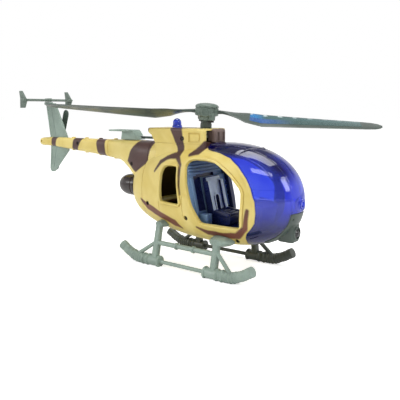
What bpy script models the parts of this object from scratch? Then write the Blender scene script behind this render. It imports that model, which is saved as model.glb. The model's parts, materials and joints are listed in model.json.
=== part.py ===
"""Toy helicopter in action-figure scale, moulded in plastic.

The model is drawn in millimetres from the foot of the rotor mast: X forward, Y to the left, Z up
from the ground. at() turns such a place into metres from the middle of the object's base.

The thumb slider on the boom pushes a rack forward. The rack turns an idler gear, whose wheel turns
the drive gear on the foot of the mast. A one-way clutch lets the rotor run on by itself.
"""
import math

import bmesh
import bpy
from mathutils import Matrix, Vector

MM = 0.001
MAST_TO_CENTRE = 48.2
GAP = 0.3
WALL = 1.5

# Cabin: an egg whose widest ring stands at EGG_X
EGG_X = 20.8
EGG_Z = 58.0
EGG_NOSE = 63.8
EGG_TAIL = 97.0
EGG_UP = 42.3
EGG_DOWN = 36.5
EGG_HALF_WIDTH = 28.3
EGG_POWER = 2.3
TAIL_FULLNESS = 0.75

# Engine cowl on the cabin roof
COWL_TOP = 111.5
COWL_HALF_WIDTH = 14.0
COWL_ROUNDING = 1.6
COWL_SIDE = [
    (9.5, 82), (9.5, COWL_TOP), (-51, COWL_TOP), (-51, 108.3), (-47.5, 106), (-43.5, 99.6), (-43.5, 82),
]

# Tail boom stations: x, lower edge, upper edge, half-width
BOOM = [
    (-40, 60, 99.6, 13),
    (-66, 62, 99.6, 12.5),
    (-80, 72.5, 99.6, 10),
    (-90, 79.8, 99.6, 8.8),
    (-100, 82, 99.5, 8),
    (-126, 84.7, 99.2, 6.6),
    (-160, 87.3, 99.1, 5.4),
    (-191, 89.7, 99, 4.6),
    (-205, 90.1, 98.5, 4.2),
    (-211, 90.1, 98.0, 4.0),
    (-214.6, 91, 97.1, 3.1),
    (-216, 92.6, 95.5, 1.5),
]
BOOM_POWER = 3.0
BOOM_CAVITY_END = -164

# Outlines in side view, x and z
DOOR = [
    (0.8, 69), (-0.9, 78), (-2.0, 82.6), (-1.3, 85.4), (0.8, 87.4), (5.4, 88.5), (15.3, 88.3), (23.2, 87.3),
    (28.4, 85.1), (35.6, 80.9), (40.5, 77.6), (45.1, 73.3), (48.6, 69.7), (49.9, 66.5), (49.9, 58.6),
    (48.4, 42.6), (47.1, 39.8), (14.6, 39.8), (12.8, 41.2), (9.5, 46.9), (5.6, 53.9), (3, 61.5),
]
WINDOW = [
    (-6.4, 52.5), (-8.4, 64.2), (-9.6, 71.9), (-10.8, 81.6), (-16.6, 82.3), (-22.6, 82.3), (-26.2, 80.7),
    (-27.9, 76.6), (-28.1, 60.5), (-27.6, 53.2),
]
CANOPY_EDGE = [
    (11, 125), (11, 97.5), (13.8, 95.8), (25.7, 93.7), (36, 90.7), (44.6, 85.2), (52.4, 77.4), (57.2, 69.5),
    (60.1, 60.7), (60.7, 52.8), (59.6, 45.5), (56, 40.5), (52.2, 36.4), (50.2, 32.7), (48.7, 27), (47.5, 10),
    (110, 10), (110, 125),
]
CHIN_BACK = 61.0
CHIN_TOP = 52.6
CHIN_HALF_WIDTH = 9.5
RIM = 2.0
RIM_PROUD = 0.9

# Main rotor, on a mast that leans forward
MAST_TILT = math.radians(4.1)
MAST_PIVOT_Z = 115.0
MAST_RADIUS = 4.6
SPINDLE_RADIUS = 1.5
HUB_RADIUS = 9.3
HUB_SPLIT_Z = 124.55
HUB_BOSS_Z = 118.1
HUB_SCREW_REACH = 6.9
HUB_SCREW_TURNS = (math.radians(-46.4), math.radians(133.6))
ROTOR_ANGLE = math.radians(30.4)
# Blade stations from the axis: distance, leading edge, trailing edge, thickness, pitch in degrees, drop
BLADE = [
    (4.4, 1.5, -1.5, 3.0, 0, 0),
    (10.0, 1.5, -1.5, 3.0, 0, 0),
    (13.0, 1.7, -2.2, 2.4, 5, 0),
    (20.0, 2.6, -7.6, 1.8, 13, 0.3),
    (31.0, 4.2, -15.2, 1.5, 19.5, 0.9),
    (34.0, 4.4, -15.6, 1.5, 20.5, 1.1),
    (44.0, 4.4, -15.6, 1.5, 24.5, 2.0),
    (80.0, 4.4, -15.2, 1.5, 19, 2.2),
    (121.5, 4.4, -14.6, 1.4, 13, 2.2),
    (128.5, 3.6, -13.6, 1.4, 12, 2.2),
    (132.5, 1.2, -11.0, 1.3, 11.5, 2.2),
    (134.5, -2.6, -7.4, 1.2, 11, 2.2),
]

# Gears: one module for the rack and both meshes
MODULE = 0.7
ADDENDUM = 0.5
DEDENDUM = 0.75
PINION_TEETH = 8
WHEEL_TEETH = 24
DRIVE_TEETH = 10
BACKLASH = 0.15
RACK_Z = (100.9, 102.9)
PINION_Z = (100.4, 104.0)
WHEEL_Z = (104.0, 106.3)
IDLER_AXLE_RADIUS = 1.0

# Skids, drawn for the right side
TRACK = 62.0
SKID_Z = 4.1
SLEEVE_RADIUS = 4.4
ROD_RADIUS = 1.6
STRUT_X = 29.5
STRUT_HALF = 2.4

# Tail
FIN_HALF = 1.2
STABILISER_HALF_SPAN = 27.5
TAIL_HUB = (-194.5, 95.0)
TAIL_ROTOR_Y = 8.2
TAIL_ROTOR_RADIUS = 33.0
TAIL_ROTOR_LEAN = math.radians(20)
# Distance from the hub and half-chord; the section across and through the blade
TAIL_BLADE = [(2.0, 1.4), (6, 1.8), (12, 3.4), (29, 3.6), (32, 2.6), (TAIL_ROTOR_RADIUS, 1.2)]
TAIL_BLADE_SECTION = [(1, -0.35), (0.2, -0.9), (-1, -0.5), (-1, 0.35), (-0.2, 0.8), (1, 0.45)]

# Shell screws, x and z
SCREWS = [(-45.2, 49.0), (-1.0, 42.3), (41.6, 28.7), (-73.0, 79.5), (-151.7, 94.5)]
SCREW_HEAD_RADIUS = 1.7
SCREW_SHANK_RADIUS = 0.8
SCREW_BOSS_RADIUS = 3.0
CRADLE_SCREW = (-13.5, 103.5)

YELLOW = ("sand_plastic", (0.82, 0.64, 0.24), 0.42)
GREY = ("grey_plastic", (0.31, 0.36, 0.34), 0.45)
HUB_GREY = ("dark_grey_plastic", (0.14, 0.18, 0.16), 0.42)
BLUE = ("blue_clear_plastic", (0.02, 0.03, 0.72), 0.08)
INTERIOR = ("cockpit_plastic", (0.25, 0.29, 0.34), 0.5)
DARK = ("dark_brown_plastic", (0.035, 0.02, 0.018), 0.2)
BLACK = ("black_plastic", (0.012, 0.012, 0.014), 0.25)
NYLON = ("white_nylon", (0.75, 0.74, 0.68), 0.4)
STEEL = ("screw_steel", (0.35, 0.34, 0.33), 0.35)


def at(x, y, z):
    """A place in metres from the middle of the base, from millimetres from the mast's foot."""
    return Vector((x + MAST_TO_CENTRE, y, z)) * MM


def clear_scene():
    for item in list(bpy.data.objects):
        bpy.data.objects.remove(item, do_unlink=True)


def collection(name):
    group = bpy.data.collections.new(name)
    bpy.context.scene.collection.children.link(group)
    return group


def material(spec):
    name, colour, roughness = spec
    found = bpy.data.materials.get(name)
    if found:
        return found
    made = bpy.data.materials.new(name)
    made.use_nodes = True
    shader = made.node_tree.nodes["Principled BSDF"]
    shader.inputs["Base Color"].default_value = (*colour, 1)
    shader.inputs["Roughness"].default_value = roughness
    shader.inputs["Metallic"].default_value = 1.0 if spec is STEEL else 0.0
    return made


def add_object(name, data):
    item = bpy.data.objects.new(name, data)
    PARTS.objects.link(item)
    return item


def finish(item, spec):
    """Give a piece its material and smooth its round faces."""
    item.data.materials.clear()
    item.data.materials.append(material(spec))
    item.data.shade_smooth()
    item.data.set_sharp_from_angle(angle=math.radians(35))
    return item


def set_origin(item, place):
    """Move a piece's origin to a joint's axis without moving its surface."""
    item.data.transform(Matrix.Translation(-place))
    item.matrix_world = Matrix.Translation(place)
    return item


def bake(item):
    """Replace a piece's mesh by what its modifiers make of it."""
    bpy.context.view_layer.update()
    graph = bpy.context.evaluated_depsgraph_get()
    mesh = bpy.data.meshes.new_from_object(item.evaluated_get(graph))
    item.modifiers.clear()
    item.data = mesh
    return item


def is_closed(item):
    shape = bmesh.new()
    shape.from_mesh(item.data)
    closed = all(len(edge.link_faces) == 2 for edge in shape.edges)
    shape.free()
    return closed


def combine(item, others, operation):
    """Join, cut or intersect with the EXACT solver, or MANIFOLD where that one leaves a gap."""
    for other in others:
        before = item.data
        for solver in ("EXACT", "MANIFOLD"):
            item.data = before
            step = item.modifiers.new(operation.lower(), "BOOLEAN")
            step.operation = operation
            step.solver = solver
            step.object = other
            bake(item)
            if is_closed(item):
                break
        bpy.data.objects.remove(other, do_unlink=True)
    return item


def fuse(item, *others):
    return combine(item, others, "UNION")


def cut(item, *others):
    return combine(item, others, "DIFFERENCE")


def keep_inside(item, *others):
    return combine(item, others, "INTERSECT")


def copy_of(item, name):
    return add_object(name, item.data.copy())


def from_bmesh(name, mesh_maker):
    data = bpy.data.meshes.new(name)
    shape = bmesh.new()
    mesh_maker(shape)
    shape.to_mesh(data)
    shape.free()
    return add_object(name, data)


def box(name, low, high):
    """A block between two corners."""
    low_corner = at(*low)
    high_corner = at(*high)
    size = high_corner - low_corner

    def make(shape):
        matrix = Matrix.Translation((low_corner + high_corner) / 2) @ Matrix.Diagonal((*size, 1))
        bmesh.ops.create_cube(shape, size=1, matrix=matrix)

    return from_bmesh(name, make)


def cone(name, start, end, start_radius, end_radius, segments=16):
    """A cylinder or cone from one place to another."""
    foot = at(*start)
    head = at(*end)
    axis = head - foot
    turn = axis.to_track_quat("Z", "Y").to_matrix().to_4x4()

    def make(shape):
        matrix = Matrix.Translation((foot + head) / 2) @ turn
        bmesh.ops.create_cone(shape, cap_ends=True, segments=segments, radius1=start_radius * MM,
                              radius2=end_radius * MM, depth=axis.length, matrix=matrix)

    return from_bmesh(name, make)


def rod(name, start, end, radius, segments=16):
    return cone(name, start, end, radius, radius, segments)


def side_prism(name, outline, right, left):
    """An outline in side view, drawn out from the right limit to the left one."""
    curve = bpy.data.curves.new(name, "CURVE")
    curve.dimensions = "2D"
    curve.fill_mode = "BOTH"
    curve.extrude = (left - right) / 2 * MM
    spline = curve.splines.new("POLY")
    spline.points.add(len(outline) - 1)
    for point, (x, z) in zip(spline.points, outline):
        point.co = (x * MM, z * MM, 0, 1)
    spline.use_cyclic_u = True
    stand = Matrix.Translation(at(0, (right + left) / 2, 0)) @ Matrix.Rotation(math.pi / 2, 4, "X")
    return curve_to_mesh(name, curve, stand)


def tube(name, points, radius, resolution=3):
    """A round bar along a line of places."""
    curve = bpy.data.curves.new(name, "CURVE")
    curve.dimensions = "3D"
    curve.bevel_depth = radius * MM
    curve.bevel_resolution = resolution
    curve.use_fill_caps = True
    spline = curve.splines.new("POLY")
    spline.points.add(len(points) - 1)
    for point, place in zip(spline.points, points):
        point.co = (*at(*place), 1)
    return curve_to_mesh(name, curve, Matrix.Identity(4))


def curve_to_mesh(name, curve, placing):
    guide = add_object(name + "_guide", curve)
    bpy.context.view_layer.update()
    graph = bpy.context.evaluated_depsgraph_get()
    data = bpy.data.meshes.new_from_object(guide.evaluated_get(graph))
    bpy.data.objects.remove(guide, do_unlink=True)
    shape = bmesh.new()
    shape.from_mesh(data)
    bmesh.ops.remove_doubles(shape, verts=shape.verts, dist=1e-6)
    bmesh.ops.recalc_face_normals(shape, faces=shape.faces)
    shape.to_mesh(data)
    shape.free()
    data.transform(placing)
    return add_object(name, data)


def turned(name, profile, placing, segments=20):
    """A turned shape. Its profile of radius and height runs down the outer side."""
    data = bpy.data.meshes.new(name)
    shape = bmesh.new()
    ring = [shape.verts.new((radius * MM, 0, height * MM)) for radius, height in profile]
    for first, second in zip(ring, ring[1:]):
        shape.edges.new((first, second))
    shape.to_mesh(data)
    shape.free()
    item = add_object(name, data)
    screw = item.modifiers.new("turn", "SCREW")
    screw.steps = segments
    screw.render_steps = segments
    screw.use_merge_vertices = True
    screw.merge_threshold = 0.00001
    bake(item)
    item.data.transform(placing)
    return item


def loft(name, rings):
    """A closed solid through rings of places that all have the same number of points."""

    def make(shape):
        rows = [[shape.verts.new(at(*place)) for place in ring] for ring in rings]
        for first, second in zip(rows, rows[1:]):
            for index, corner in enumerate(first):
                after = (index + 1) % len(first)
                shape.faces.new((corner, first[after], second[after], second[index]))
        shape.faces.new(rows[0])
        shape.faces.new(rows[-1])
        bmesh.ops.recalc_face_normals(shape, faces=shape.faces)

    return from_bmesh(name, make)


def soften(item, width, segments=2, angle=40):
    """Round the edges that are sharper than an angle."""
    bevel = item.modifiers.new("soften", "BEVEL")
    bevel.width = width * MM
    bevel.segments = segments
    bevel.limit_method = "ANGLE"
    bevel.angle_limit = math.radians(angle)
    return bake(item)


def oval(angle, half_width, half_height, power):
    """A point on a rounded box of a section: y and z from its middle."""
    across = math.cos(angle)
    up = math.sin(angle)
    reach = (abs(across) ** power + abs(up) ** power) ** (-1 / power)
    return across * reach * half_width, up * reach * half_height


def egg(name, inset, around=28, along=18):
    """The cabin's outer surface, drawn in by an inset."""

    def place(direction):
        forward = direction.z
        angle = math.atan2(direction.y, direction.x)
        if forward > 0:
            reach = EGG_NOSE - inset
            fullness = (1 - forward ** EGG_POWER) ** (1 / EGG_POWER)
        else:
            reach = EGG_TAIL - inset
            fullness = max(1 - forward ** 2, 0) ** (TAIL_FULLNESS / 2)
        height = (EGG_UP if angle > 0 else EGG_DOWN) - inset
        y, z = oval(angle, (EGG_HALF_WIDTH - inset) * fullness, height * fullness, EGG_POWER)
        return at(EGG_X + forward * reach, y, EGG_Z + z)

    def make(shape):
        bmesh.ops.create_uvsphere(shape, u_segments=around, v_segments=along, radius=1)
        for corner in shape.verts:
            forward = max(-1.0, min(1.0, corner.co.z))
            corner.co = place(Vector((corner.co.x, corner.co.y, forward)))
        bmesh.ops.recalc_face_normals(shape, faces=shape.faces)

    return from_bmesh(name, make)


def boom_station(x):
    """Lower edge, upper edge and half-width of the boom at x."""
    for front, back in zip(BOOM, BOOM[1:]):
        if front[0] >= x >= back[0]:
            share = (front[0] - x) / (front[0] - back[0])
            return [a + (b - a) * share for a, b in zip(front[1:], back[1:])]
    raise ValueError(x)


def boom(name, inset, end, segments=16):
    stations = [row[0] for row in BOOM if row[0] > end] + [end]
    rings = []
    for x in stations:
        low, high, half_width = boom_station(x)
        middle = (low + high) / 2
        half_height = (high - low) / 2
        ring = []
        for index in range(segments):
            angle = 2 * math.pi * index / segments
            y, z = oval(angle, half_width - inset, half_height - inset, BOOM_POWER)
            ring.append((x, y, middle + z))
        rings.append(ring)
    return loft(name, rings)


def grown(outline, distance):
    """An outline moved out along the bisectors of its corners."""
    count = len(outline)
    area = sum(a[0] * b[1] - b[0] * a[1] for a, b in zip(outline, outline[1:] + outline[:1]))
    side = 1 if area > 0 else -1
    moved = []
    for index, (x, z) in enumerate(outline):
        before = Vector((x, z)) - Vector(outline[index - 1])
        after = Vector(outline[(index + 1) % count]) - Vector((x, z))
        normals = [Vector((edge.y, -edge.x)).normalized() * side for edge in (before, after)]
        bisector = (normals[0] + normals[1]).normalized()
        reach = distance / max(bisector.dot(normals[0]), 0.5)
        moved.append((x + bisector.x * reach, z + bisector.y * reach))
    return moved


def mast_frame(z=MAST_PIVOT_Z):
    """The frame of the leaning mast at a height along it."""
    foot = Matrix.Translation(at(0, 0, MAST_PIVOT_Z)) @ Matrix.Rotation(MAST_TILT, 4, "Y")
    return foot @ Matrix.Translation((0, 0, (z - MAST_PIVOT_Z) * MM))


def mast_turned(name, profile, segments=20, x_offset=0.0):
    """A turned shape about the mast's axis, or an axis beside it; heights are above the ground."""
    placing = mast_frame(0) @ Matrix.Translation((x_offset * MM, 0, 0))
    return turned(name, profile, placing, segments)


def rod_profile(radius, bottom, top):
    return [(0, top), (radius, top), (radius, bottom), (0, bottom)]


# ---------------------------------------------------------------- cabin, cowl and boom shells

def outer_envelope(name, inset=0.0, boom_end=BOOM[-1][0]):
    """Cabin, cowl and boom in one solid, drawn in by an inset."""
    body = egg(name, inset)
    cowl = side_prism("cowl", grown(COWL_SIDE, -inset), inset - COWL_HALF_WIDTH, COWL_HALF_WIDTH - inset)
    if inset == 0:
        soften(cowl, COWL_ROUNDING)
    return fuse(body, cowl, boom("boom", inset, boom_end))


def rim_ring(name, outline, side):
    """A raised rim round an opening, on one side of the cabin."""
    outer = (-60, 0) if side < 0 else (0, 60)
    return keep_inside(egg(name, -RIM_PROUD), side_prism("rim_area", grown(outline, RIM), *outer))


def screw_boss(name, x, z):
    """A post between the two halves that takes one screw."""
    post = rod(name, (x, -60, z), (x, 60, z), SCREW_BOSS_RADIUS, 16)
    return keep_inside(post, outer_envelope("inside", WALL / 2, BOOM_CAVITY_END))


def shell():
    """Both halves of the body in one piece, still joined on the middle plane."""
    body = outer_envelope("shell")
    for outline in (DOOR, WINDOW):
        for side in (-1, 1):
            fuse(body, rim_ring("rim", outline, side))
    cut(body, outer_envelope("hollow", WALL, BOOM_CAVITY_END))
    for x, z in SCREWS:
        if x > BOOM_CAVITY_END:
            fuse(body, screw_boss("boss", x, z))
    cut(body, side_prism("canopy_side", CANOPY_EDGE, -60, 60))
    cut(body, side_prism("door", DOOR, -60, 60), side_prism("window", WINDOW, -60, 60))
    cut(body, box("cowl_mouth", (5, -12.5, 101.2), (20, 12.5, COWL_TOP - WALL)))
    cut(body, box("rack_gate", (-60, 1.6, 100.2), (-40, 6.7, 103.6)))
    cut(body, box("slider_slot", (-92, -2.6, 96), (-59, 2.6, 101)))
    cut(body, mast_turned("mast_hole", rod_profile(MAST_RADIUS + 0.4, 104, 116)))
    cut(body, rod("beacon_hole", (-30, 0, 105), (-30, 0, 115), 2.3))
    cut(body, box("fin_slot", (-200.3, -FIN_HALF - GAP, 80), (-171.7, FIN_HALF + GAP, 110)))
    x, z = TAIL_HUB
    cut(body, rod("tail_pin_hole", (x, -20, z), (x, 20, z), 1.3, 16))
    cut(body, rod("tail_hole", (-225, 0, 94), (-206, 0, 94), 1.5, 16))
    for x, z in SCREWS:
        cut_screw_hole(body, x, z)
    x, z = CRADLE_SCREW
    cut(body, rod("hole", (x, -20, z), (x, -12, z), SCREW_HEAD_RADIUS + GAP, 16))
    return body


def surface_y(x, z):
    """Half-width of the cabin or boom at a place in side view."""
    if x > -60:
        forward = (x - EGG_X) / (EGG_NOSE if x > EGG_X else EGG_TAIL)
        power = 1 / EGG_POWER if forward > 0 else TAIL_FULLNESS / 2
        fullness = (1 - abs(forward) ** (EGG_POWER if forward > 0 else 2)) ** power
        up = abs(z - EGG_Z) / ((EGG_UP if z > EGG_Z else EGG_DOWN) * fullness)
        return EGG_HALF_WIDTH * fullness * (1 - up ** EGG_POWER) ** (1 / EGG_POWER)
    low, high, half_width = boom_station(x)
    up = abs(z - (low + high) / 2) / ((high - low) / 2)
    return half_width * (1 - up ** BOOM_POWER) ** (1 / BOOM_POWER)


def cut_screw_hole(body, x, z):
    """A counterbore for the head and a clearance hole for the shank."""
    y = -surface_y(x, z)
    depth = screw_depth(x)
    cut(body, rod("head", (x, -40, z), (x, y + depth, z), SCREW_HEAD_RADIUS + GAP, 16))
    cut(body, rod("shank", (x, y, z), (x, screw_tip(x), z), SCREW_SHANK_RADIUS + GAP, 12))


def screw_depth(x):
    """How deep a screw's head seat lies under the surface."""
    return 3.0 if x > -60 else 2.0


def screw_tip(x):
    return 8.0 if x > -60 else 2.6


def shell_half(whole, name, side):
    """One half of the body. The right one is on the negative side."""
    half = copy_of(whole, name)
    limits = (-70, -GAP / 2) if side < 0 else (GAP / 2, 70)
    keep_inside(half, box("half", (-230, limits[0], -10), (120, limits[1], 200)))
    return finish(keep_largest(half), YELLOW)


def keep_largest(item):
    """Drop the crumbs that a cut leaves loose."""
    shape = bmesh.new()
    shape.from_mesh(item.data)
    seen = set()
    groups = []
    for start in shape.verts:
        if start in seen:
            continue
        group = []
        stack = [start]
        seen.add(start)
        while stack:
            corner = stack.pop()
            group.append(corner)
            for edge in corner.link_edges:
                other = edge.other_vert(corner)
                if other not in seen:
                    seen.add(other)
                    stack.append(other)
        groups.append(group)
    groups.sort(key=len)
    for group in groups[:-1]:
        bmesh.ops.delete(shape, geom=group, context="VERTS")
    shape.to_mesh(item.data)
    shape.free()
    return item


def windshield():
    """The blue bubble, with its nose boss; the chin strip is cut away."""
    bubble = cut(egg("windshield", 0), egg("bubble_inside", WALL))
    keep_inside(bubble, side_prism("edge", grown(CANOPY_EDGE, -GAP), -60, 60))
    half = CHIN_HALF_WIDTH + GAP
    cut(bubble, box("chin_cut", (CHIN_BACK - GAP, -half, 0), (100, half, CHIN_TOP + GAP)))
    cut(bubble, box("intake_seat", (-20, -7.4, 97), (14.8, 7.4, 120)))
    fuse(bubble, rod("nose_boss", (82.6, 0, 58.8), (86.4, 0, 58.8), 5.2))
    return finish(keep_largest(bubble), BLUE)


def chin_fairing():
    """The grey strip under the nose, with the camera block."""
    strip = cut(egg("chin_fairing", -0.6), egg("strip_inside", WALL))
    keep_inside(strip, box("strip_area", (CHIN_BACK, -CHIN_HALF_WIDTH, 0), (100, CHIN_HALF_WIDTH, CHIN_TOP)))
    block = soften(box("camera_block", (70, -5.2, 30.2), (82.2, 5.2, 44)), 1.5)
    fuse(strip, cut(block, egg("block_inside", WALL)))
    cut(strip, rod("lens_seat", (80.6, 0, 37), (90, 0, 37), 3.9))
    return finish(keep_largest(strip), GREY)


def nose_camera_lens():
    profile = [(0, 1.6), (1.8, 1.4), (2.9, 0.8), (3.4, 0), (3.4, -1.2), (0, -1.2)]
    placing = Matrix.Translation(at(82.1, 0, 37)) @ Matrix.Rotation(math.pi / 2, 4, "Y")
    return finish(turned("nose_camera_lens", profile, placing, 24), BLACK)


def air_intake():
    """The box that fills the middle of the cowl's mouth."""
    side_view = [(9.9, 100.7), (14.3, 100.5), (14.3, 109.4), (13.4, 111.4), (9.9, 111.4)]
    front = side_prism("air_intake", side_view, -6.8, 6.8)
    soften(front, 1.2)
    plug = box("plug", (6.4, -6.0, 102), (11, 6.0, 109.4))
    fuse(front, plug)
    cut(front, box("plug_hollow", (4, -4.8, 103), (12.6, 4.8, 108.6)))
    for middle in (-3.4, 3.4):
        fuse(front, soften(box("slat", (13.4, middle - 1.1, 102.6), (14.9, middle + 1.1, 108.6)), 0.4))
    return finish(front, YELLOW)


# ---------------------------------------------------------------- fittings on the body

def exhaust_nozzle():
    profile = [
        (0, 18), (3.0, 18), (3.4, 21.6), (4.8, 21.2), (7.2, 18.6), (9.0, 14.2), (9.8, 9), (9.8, 0), (0, 0),
    ]
    placing = Matrix.Translation(at(-74.2, 0, 59.2)) @ Matrix.Rotation(-math.pi / 2, 4, "Y")
    nozzle = turned("exhaust_nozzle", profile, placing)
    return finish(keep_largest(cut(nozzle, outer_envelope("clearance", -GAP))), DARK)


def beacon_lens():
    profile = []
    for step in range(6):
        angle = math.radians(18 * step)
        profile.append((3.6 * math.sin(angle), 115.6 + 3.6 * math.cos(angle)))
    seat = COWL_TOP + GAP
    profile += [(3.8, 112.8), (4.1, 112.6), (4.1, seat), (2.0, seat), (2.0, 107), (0, 107)]
    return finish(turned("beacon_lens", profile, Matrix.Translation(at(-30, 0, 0))), BLUE)


def tail_fin():
    """Upper and lower fin in one plate that stands in the boom's slot."""
    upper = [(-172.8, 98.2), (-190.2, 133), (-204, 133.4), (-200, 104), (-199.8, 98.2)]
    lower = [(-199.8, 90.4), (-200, 86), (-203, 66), (-200, 63), (-196, 63), (-172.2, 86), (-172.2, 90.4)]
    plate = side_prism("tail_fin", upper + lower, -FIN_HALF, FIN_HALF)
    soften(plate, 0.5, 1)
    fuse(plate, soften(box("head", (-205.6, -2.4, 131.4), (-196.6, 2.4, 134.2)), 0.6, 1))
    for outline in ([(-201.4, 130), (-203.4, 130), (-199.4, 101), (-197.4, 101)],
                    [(-201.2, 70), (-199.2, 70), (-197.2, 87), (-199.2, 87)]):
        fuse(plate, side_prism("rudder_line", outline, -1.7, 1.7))
    x, z = TAIL_HUB
    cut(plate, rod("pin_hole", (x, -9, z), (x, 9, z), 1.3, 16))
    return finish(plate, GREY)


def tail_stabiliser():
    """The cross bar on the fin's head with an end plate at each tip."""
    span = STABILISER_HALF_SPAN
    section = [(-206.4, 135.3), (-197.4, 135.6), (-196.6, 136.3), (-197.4, 137), (-206.4, 137.2)]
    bar = side_prism("tail_stabilizer", section, -span, span)
    plate = [(-209.4, 128.4), (-202, 128.4), (-198, 135.6), (-205, 145), (-209.6, 145), (-208.6, 138)]
    for side in (-1, 1):
        fuse(bar, soften(side_prism("end_plate", plate, side * span - 0.8, side * span + 0.8), 0.35, 1))
    fuse(bar, box("saddle", (-204.6, -1.9, 134.6), (-198, 1.9, 136)))
    return finish(bar, GREY)


def tail_rotor():
    """Two blades and a hub in one moulding on the left of the boom."""
    x, z = TAIL_HUB
    hub = rod("tail_rotor", (x, TAIL_ROTOR_Y - 2.4, z), (x, TAIL_ROTOR_Y + 1.8, z), 3.4, 20)
    for side in (-1, 1):
        rings = []
        for reach, half_chord in TAIL_BLADE:
            ring = []
            for across, out in TAIL_BLADE_SECTION:
                y = TAIL_ROTOR_Y + out + side * across * 0.5
                ring.append((x + side * across * half_chord, y, z + side * reach))
            rings.append(ring)
        fuse(hub, loft("blade", rings))
    cut(hub, rod("bore", (x, 0, z), (x, 14, z), 1.4, 20))
    axle = Matrix.Translation(at(x, TAIL_ROTOR_Y, z))
    hub.data.transform(axle @ Matrix.Rotation(TAIL_ROTOR_LEAN, 4, "Y") @ axle.inverted())
    return set_origin(finish(hub, GREY), axle.translation)


def tail_rotor_pin():
    x, z = TAIL_HUB
    pin = rod("tail_rotor_pin", (x, -4.2, z), (x, TAIL_ROTOR_Y + 2.6, z), 1.0, 20)
    fuse(pin, cone("head", (x, TAIL_ROTOR_Y + 2.2, z), (x, TAIL_ROTOR_Y + 3.4, z), 2.2, 1.6, 20))
    return finish(pin, STEEL)


# ---------------------------------------------------------------- skids

def skid():
    """The right landing skid with its struts, braces and step bar, as one moulding."""
    y = -TRACK / 2

    def sleeve(ends, label):
        return tube(label, [(x, y, z) for x, z in ends], SLEEVE_RADIUS, 2)

    front = [(21.7, SKID_Z), (46, SKID_Z), (49.5, SKID_Z + 0.8), (64, 12.4)]
    rear = [(-x - 2.2, z) for x, z in front]
    body = sleeve(front, "landing_skid_right")
    fuse(body, sleeve(rear, "rear_sleeve"))
    fuse(body, rod("skid_rod", (-25, y, SKID_Z), (25, y, SKID_Z), ROD_RADIUS, 14))
    for middle, sign in ((-1.1, 1), (-1.1, -1)):
        for offset in (23.4, 34.6, 39.6):
            x = middle + sign * offset
            fuse(body, rod("ring", (x - 0.8, y, SKID_Z), (x + 0.8, y, SKID_Z), SLEEVE_RADIUS + 0.4))
    keep_inside(body, box("above_ground", (-90, y - 20, 0), (90, y + 20, 50)))
    for x, top_y, top_z in ((STRUT_X, -26, 28), (-STRUT_X, -24, 34)):
        fuse(body, strut("strut", x, top_y, top_z, y))
    flange = rod("flange", (STRUT_X, -15, 27.6), (STRUT_X, -28.2, 27.6), 4.6, 20)
    stretch(flange, at(STRUT_X, -20, 27.6), (2.0, 1, 1))
    fuse(body, flange)
    fuse(body, box("pad", (-STRUT_X - 5, -25.4, 31), (-STRUT_X + 5, -15, 37)))
    fuse(body, tube("step", [(-STRUT_X, -27.8, 18.8), (STRUT_X, -28.4, 18.8)], 2.0, 2))
    for x in (-8.5, 8.5):
        fuse(body, rod("step_ring", (x - 1, -28.1, 18.8), (x + 1, -28.1, 18.8), 2.8, 14))
    fuse(body, tube("front_brace", [(STRUT_X + 1, -28.2, 21), (44.5, y, 7.4)], 1.6, 2))
    fuse(body, tube("rear_brace", [(-STRUT_X - 1, -28.2, 19), (-47, y, 7.6)], 1.6, 2))
    cut(body, egg("clearance", -GAP))
    return finish(keep_largest(body), GREY)


def mirrored(item, name):
    """The same piece on the other side of the middle plane."""
    twin = copy_of(item, name)
    twin.data.transform(Matrix.Scale(-1, 4, (0, 1, 0)))
    twin.data.flip_normals()
    return twin


def strut(name, x, top_y, top_z, foot_y):
    """A box-section leg from the skid up to the cabin's side."""
    rings = []
    for y, z, half in ((foot_y, SKID_Z, STRUT_HALF + 0.3), (top_y, top_z, STRUT_HALF)):
        corners = ((-half, -half), (half, -half), (half, half), (-half, half))
        rings.append([(x + along, y + across, z) for along, across in corners])
    return loft(name, rings)


def stretch(item, centre, factors):
    """Scale a piece about a place."""
    size = Matrix.Diagonal((*factors, 1))
    item.data.transform(Matrix.Translation(centre) @ size @ Matrix.Translation(-centre))
    return item


# ---------------------------------------------------------------- cockpit

def cockpit_tub():
    """Floor and reclined rear bulkhead, one moulding between the two shells."""
    wall = side_prism("cockpit_tub", [(6.6, 36.4), (9.4, 36.4), (-3.2, 90.4), (-6.0, 90.4)], -40, 40)
    fuse(wall, side_prism("floor", [(7, 34.4), (57.5, 34.4), (57.5, 36.4), (7, 36.8)], -40, 40))
    fuse(wall, side_prism("ledge", [(-1.6, 84), (2.6, 84), (2.6, 86.6), (-2.2, 86.6)], -18, 18))
    for index in range(3):
        z = 74.5 + 3.2 * index
        x = 9.2 - (z - 36.4) * 0.2333
        fuse(wall, box("ridge", (x - 2, -19, z - 0.6), (x + 1.1, 19, z + 0.6)))
    keep_inside(wall, egg("cabin_space", WALL + GAP))
    cut(wall, box("seat_slot", (0, -6, 44), (12, 6, 50)))
    for x, z in SCREWS[:3]:
        cut(wall, rod("boss_room", (x, -60, z), (x, 60, z), 3.4, 16))
    return finish(keep_largest(wall), INTERIOR)


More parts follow.
